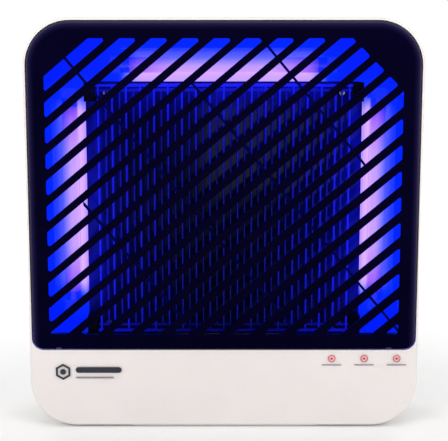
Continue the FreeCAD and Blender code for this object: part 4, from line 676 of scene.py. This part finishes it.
def add_marks():
    """Plain printed marks with no lettering: a hexagon and two bars, and three red rings with a
    grey bar under each."""
    face_y = HOUSING_LOW.y
    dark = ink("print_dark", (0.008, 0.008, 0.020))
    grey = ink("print_grey", (0.22, 0.20, 0.22))
    red = ink("print_red", (0.62, 0.03, 0.05))
    emblem = (HOUSING_LOW.x + EMBLEM_X, EMBLEM_Z)
    left = emblem[0] + BARS_START
    marks = [
        ("emblem_ring", dark, ring(emblem, 8.5 * MM, 6.2 * MM, 6, math.pi / 6)),
        ("emblem_dot", dark, [regular(emblem, 3.0 * MM, 32)]),
        ("name_bar", dark, [bar(left, emblem[0] + 60 * MM, 61.5 * MM, 6.0 * MM)]),
        ("line_bar", grey, [bar(left, emblem[0] + 52 * MM, 53.5 * MM, 1.6 * MM)]),
    ]
    for index in range(3):
        x = HOUSING_HIGH.x - NOTICE_X - (2 - index) * NOTICE_PITCH
        centre = (x, NOTICE_Z)
        under = bar(x - 10 * MM, x + 10 * MM, NOTICE_Z - 6.6 * MM, 1.1 * MM)
        marks.append((f"notice_ring_{index + 1}", red, ring(centre, 3.9 * MM, 3.0 * MM, 40)))
        marks.append((f"notice_dot_{index + 1}", red, [regular(centre, 1.3 * MM, 24)]))
        marks.append((f"notice_bar_{index + 1}", grey, [under]))
    for name, material, loops in marks:
        piece = plate_mesh(name, loops, face_y)
        piece.data.materials.append(material)
        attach(piece, "housing")


# ---------------------------------------------------------------- studio

FLOOR_SIZE = 6.0
SHEEN_Y = -0.60                             # the plate's own lights stand in front of the cover
CAMERA_DROP = math.radians(7.9)             # the camera looks down by this angle
CAMERA_DISTANCE = 1.0
LENS = 80.36                                # focal length in millimetres
AIM = Vector((0.15 * MM, 0.0, 216.5 * MM))  # counted in y from the cover's face


def add_floor():
    """White paper with a painted glow that lifts it to plain white away from the part."""
    mesh = bpy.data.meshes.new("studio_floor")
    build = bmesh.new()
    bmesh.ops.create_grid(build, x_segments=24, y_segments=24, size=FLOOR_SIZE)
    build.to_mesh(mesh)
    build.free()
    floor = bpy.data.objects.new("studio_floor", mesh)
    SCENE.collection.objects.link(floor)
    shader = Shader("studio_paper", Roughness=0.8, Specular_IOR_Level=0.2)
    paper = shader.noise(0.4)
    shader.put(shader.ramp(paper, [(0.3, (0.93, 0.925, 0.92)), (0.7, (0.95, 0.945, 0.94))]), "Base Color")
    x, y, _ = shader.split()
    # painted glow, growing with the distance from the part
    lift = shader.spread(shader.length(x, y), 0.0, 1.0, 0.3, 1.6)
    shader.emit(shader.blend(lift, BLACK, (0.8, 0.8, 0.8, 1.0)))
    mesh.materials.append(shader.material)


def add_softbox(name, place, size, watts, colour=(1.0, 1.0, 1.0), target=(0.0, 0.0, 0.2)):
    """An area light at a place, turned towards a target."""
    data = bpy.data.lights.new(name, "AREA")
    data.shape = "RECTANGLE"
    data.size, data.size_y = size
    data.energy = watts
    data.color = colour
    light = bpy.data.objects.new(name, data)
    SCENE.collection.objects.link(light)
    light.location = place
    light.rotation_euler = (Vector(target) - Vector(place)).to_track_quat("-Z", "Y").to_euler()
    return light


def add_tube_lights():
    """Unseen strips in the troughs' mouths, which throw the tubes' light forwards on grid and slats."""
    y = TROUGH_MOUTH_Y
    width = 2 * TUBE_RADIUS
    strips = [
        ("tube_light_left", (-SIDE_TUBE_X, y, SIDE_TUBE_Z), (width, 2 * SIDE_TUBE_HALF)),
        ("tube_light_right", (SIDE_TUBE_X, y, SIDE_TUBE_Z), (width, 2 * SIDE_TUBE_HALF)),
        ("tube_light_top", (0.0, y, TOP_TUBE_Z), (2 * TOP_TUBE_HALF, width)),
    ]
    for name, place, size in strips:
        ahead = (place[0], place[1] - 1.0, place[2])
        light = add_softbox(name, place, size, 0.05, (0.10, 0.12, 1.0), ahead)
        light.visible_camera = False


def add_plate_sheens():
    """Reflections on the black backplate, and nowhere else: a window's at the upper right and the
    right-hand tube's, in blue, further down."""
    plate = bpy.data.collections.new("plate_sheen_receiver")
    plate.objects.link(NODES["backplate"])
    sheens = [
        ("plate_sheen_window", (0.085, 0.245), (0.24, 0.14), 0.75, (0.80, 0.85, 1.0)),
        ("plate_sheen_tube", (0.165, 0.140), (0.06, 0.16), 2.6, (0.0, 0.01, 1.0)),
    ]
    for name, (x, z), size, watts, colour in sheens:
        light = add_softbox(name, (x, SHEEN_Y, z), size, watts, colour, (x, 0.0, z))
        light.visible_camera = False
        light.light_linking.receiver_collection = plate
        light.light_linking.blocker_collection = plate


def add_studio_lights():
    """Three soft lights from the front and above, and two from behind."""
    add_softbox("softbox_left", (-1.5, -1.7, 1.25), (1.3, 1.3), 24.0)
    add_softbox("softbox_right", (1.6, -1.6, 1.1), (1.3, 1.3), 22.0)
    add_softbox("softbox_top", (0.0, -0.1, 2.2), (1.8, 1.8), 16.0)
    add_softbox("softbox_back_left", (-1.5, 1.9, 1.4), (1.2, 1.2), 14.0)
    add_softbox("softbox_back_right", (1.5, 1.9, 1.4), (1.2, 1.2), 14.0)


def add_world():
    """White behind everything for the camera, and a weaker, cooler fill for the surfaces."""
    world = bpy.data.worlds.new("studio")
    world.use_nodes = True
    SCENE.world = world
    tree = world.node_tree
    tree.nodes.clear()
    output = tree.nodes.new("ShaderNodeOutputWorld")
    shown = tree.nodes.new("ShaderNodeBackground")
    shown.inputs["Color"].default_value = (1.0, 1.0, 1.0, 1.0)
    lit = tree.nodes.new("ShaderNodeBackground")
    lit.inputs["Color"].default_value = (0.97, 0.98, 1.0, 1.0)
    lit.inputs["Strength"].default_value = 0.35
    path = tree.nodes.new("ShaderNodeLightPath")
    mix = tree.nodes.new("ShaderNodeMixShader")
    tree.links.new(path.outputs["Is Camera Ray"], mix.inputs[0])
    tree.links.new(lit.outputs[0], mix.inputs[1])
    tree.links.new(shown.outputs[0], mix.inputs[2])
    tree.links.new(mix.outputs[0], output.inputs["Surface"])


def add_camera():
    """The photograph's view: from the front, a little above."""
    data = bpy.data.cameras.new("camera")
    data.lens = LENS
    data.sensor_width = 36.0
    data.clip_start = 0.01
    data.clip_end = 50.0
    camera = bpy.data.objects.new("camera", data)
    SCENE.collection.objects.link(camera)
    back = Vector((0.0, -math.cos(CAMERA_DROP), math.sin(CAMERA_DROP)))
    aim = AIM + Vector((0.0, COVER_LOW.y, 0.0))
    camera.location = aim + back * CAMERA_DISTANCE
    camera.rotation_euler = (math.radians(90) - CAMERA_DROP, 0.0, 0.0)
    SCENE.camera = camera


# ---------------------------------------------------------------- assembly of the scene

dress_nodes()
for name, width in EDGE_WIDTHS.items():
    soften(name, width)
add_marks()
add_floor()
add_tube_lights()
add_plate_sheens()
add_studio_lights()
add_world()
add_camera()
SCENE.view_settings.view_transform = "Standard"
SCENE.view_settings.look = "None"
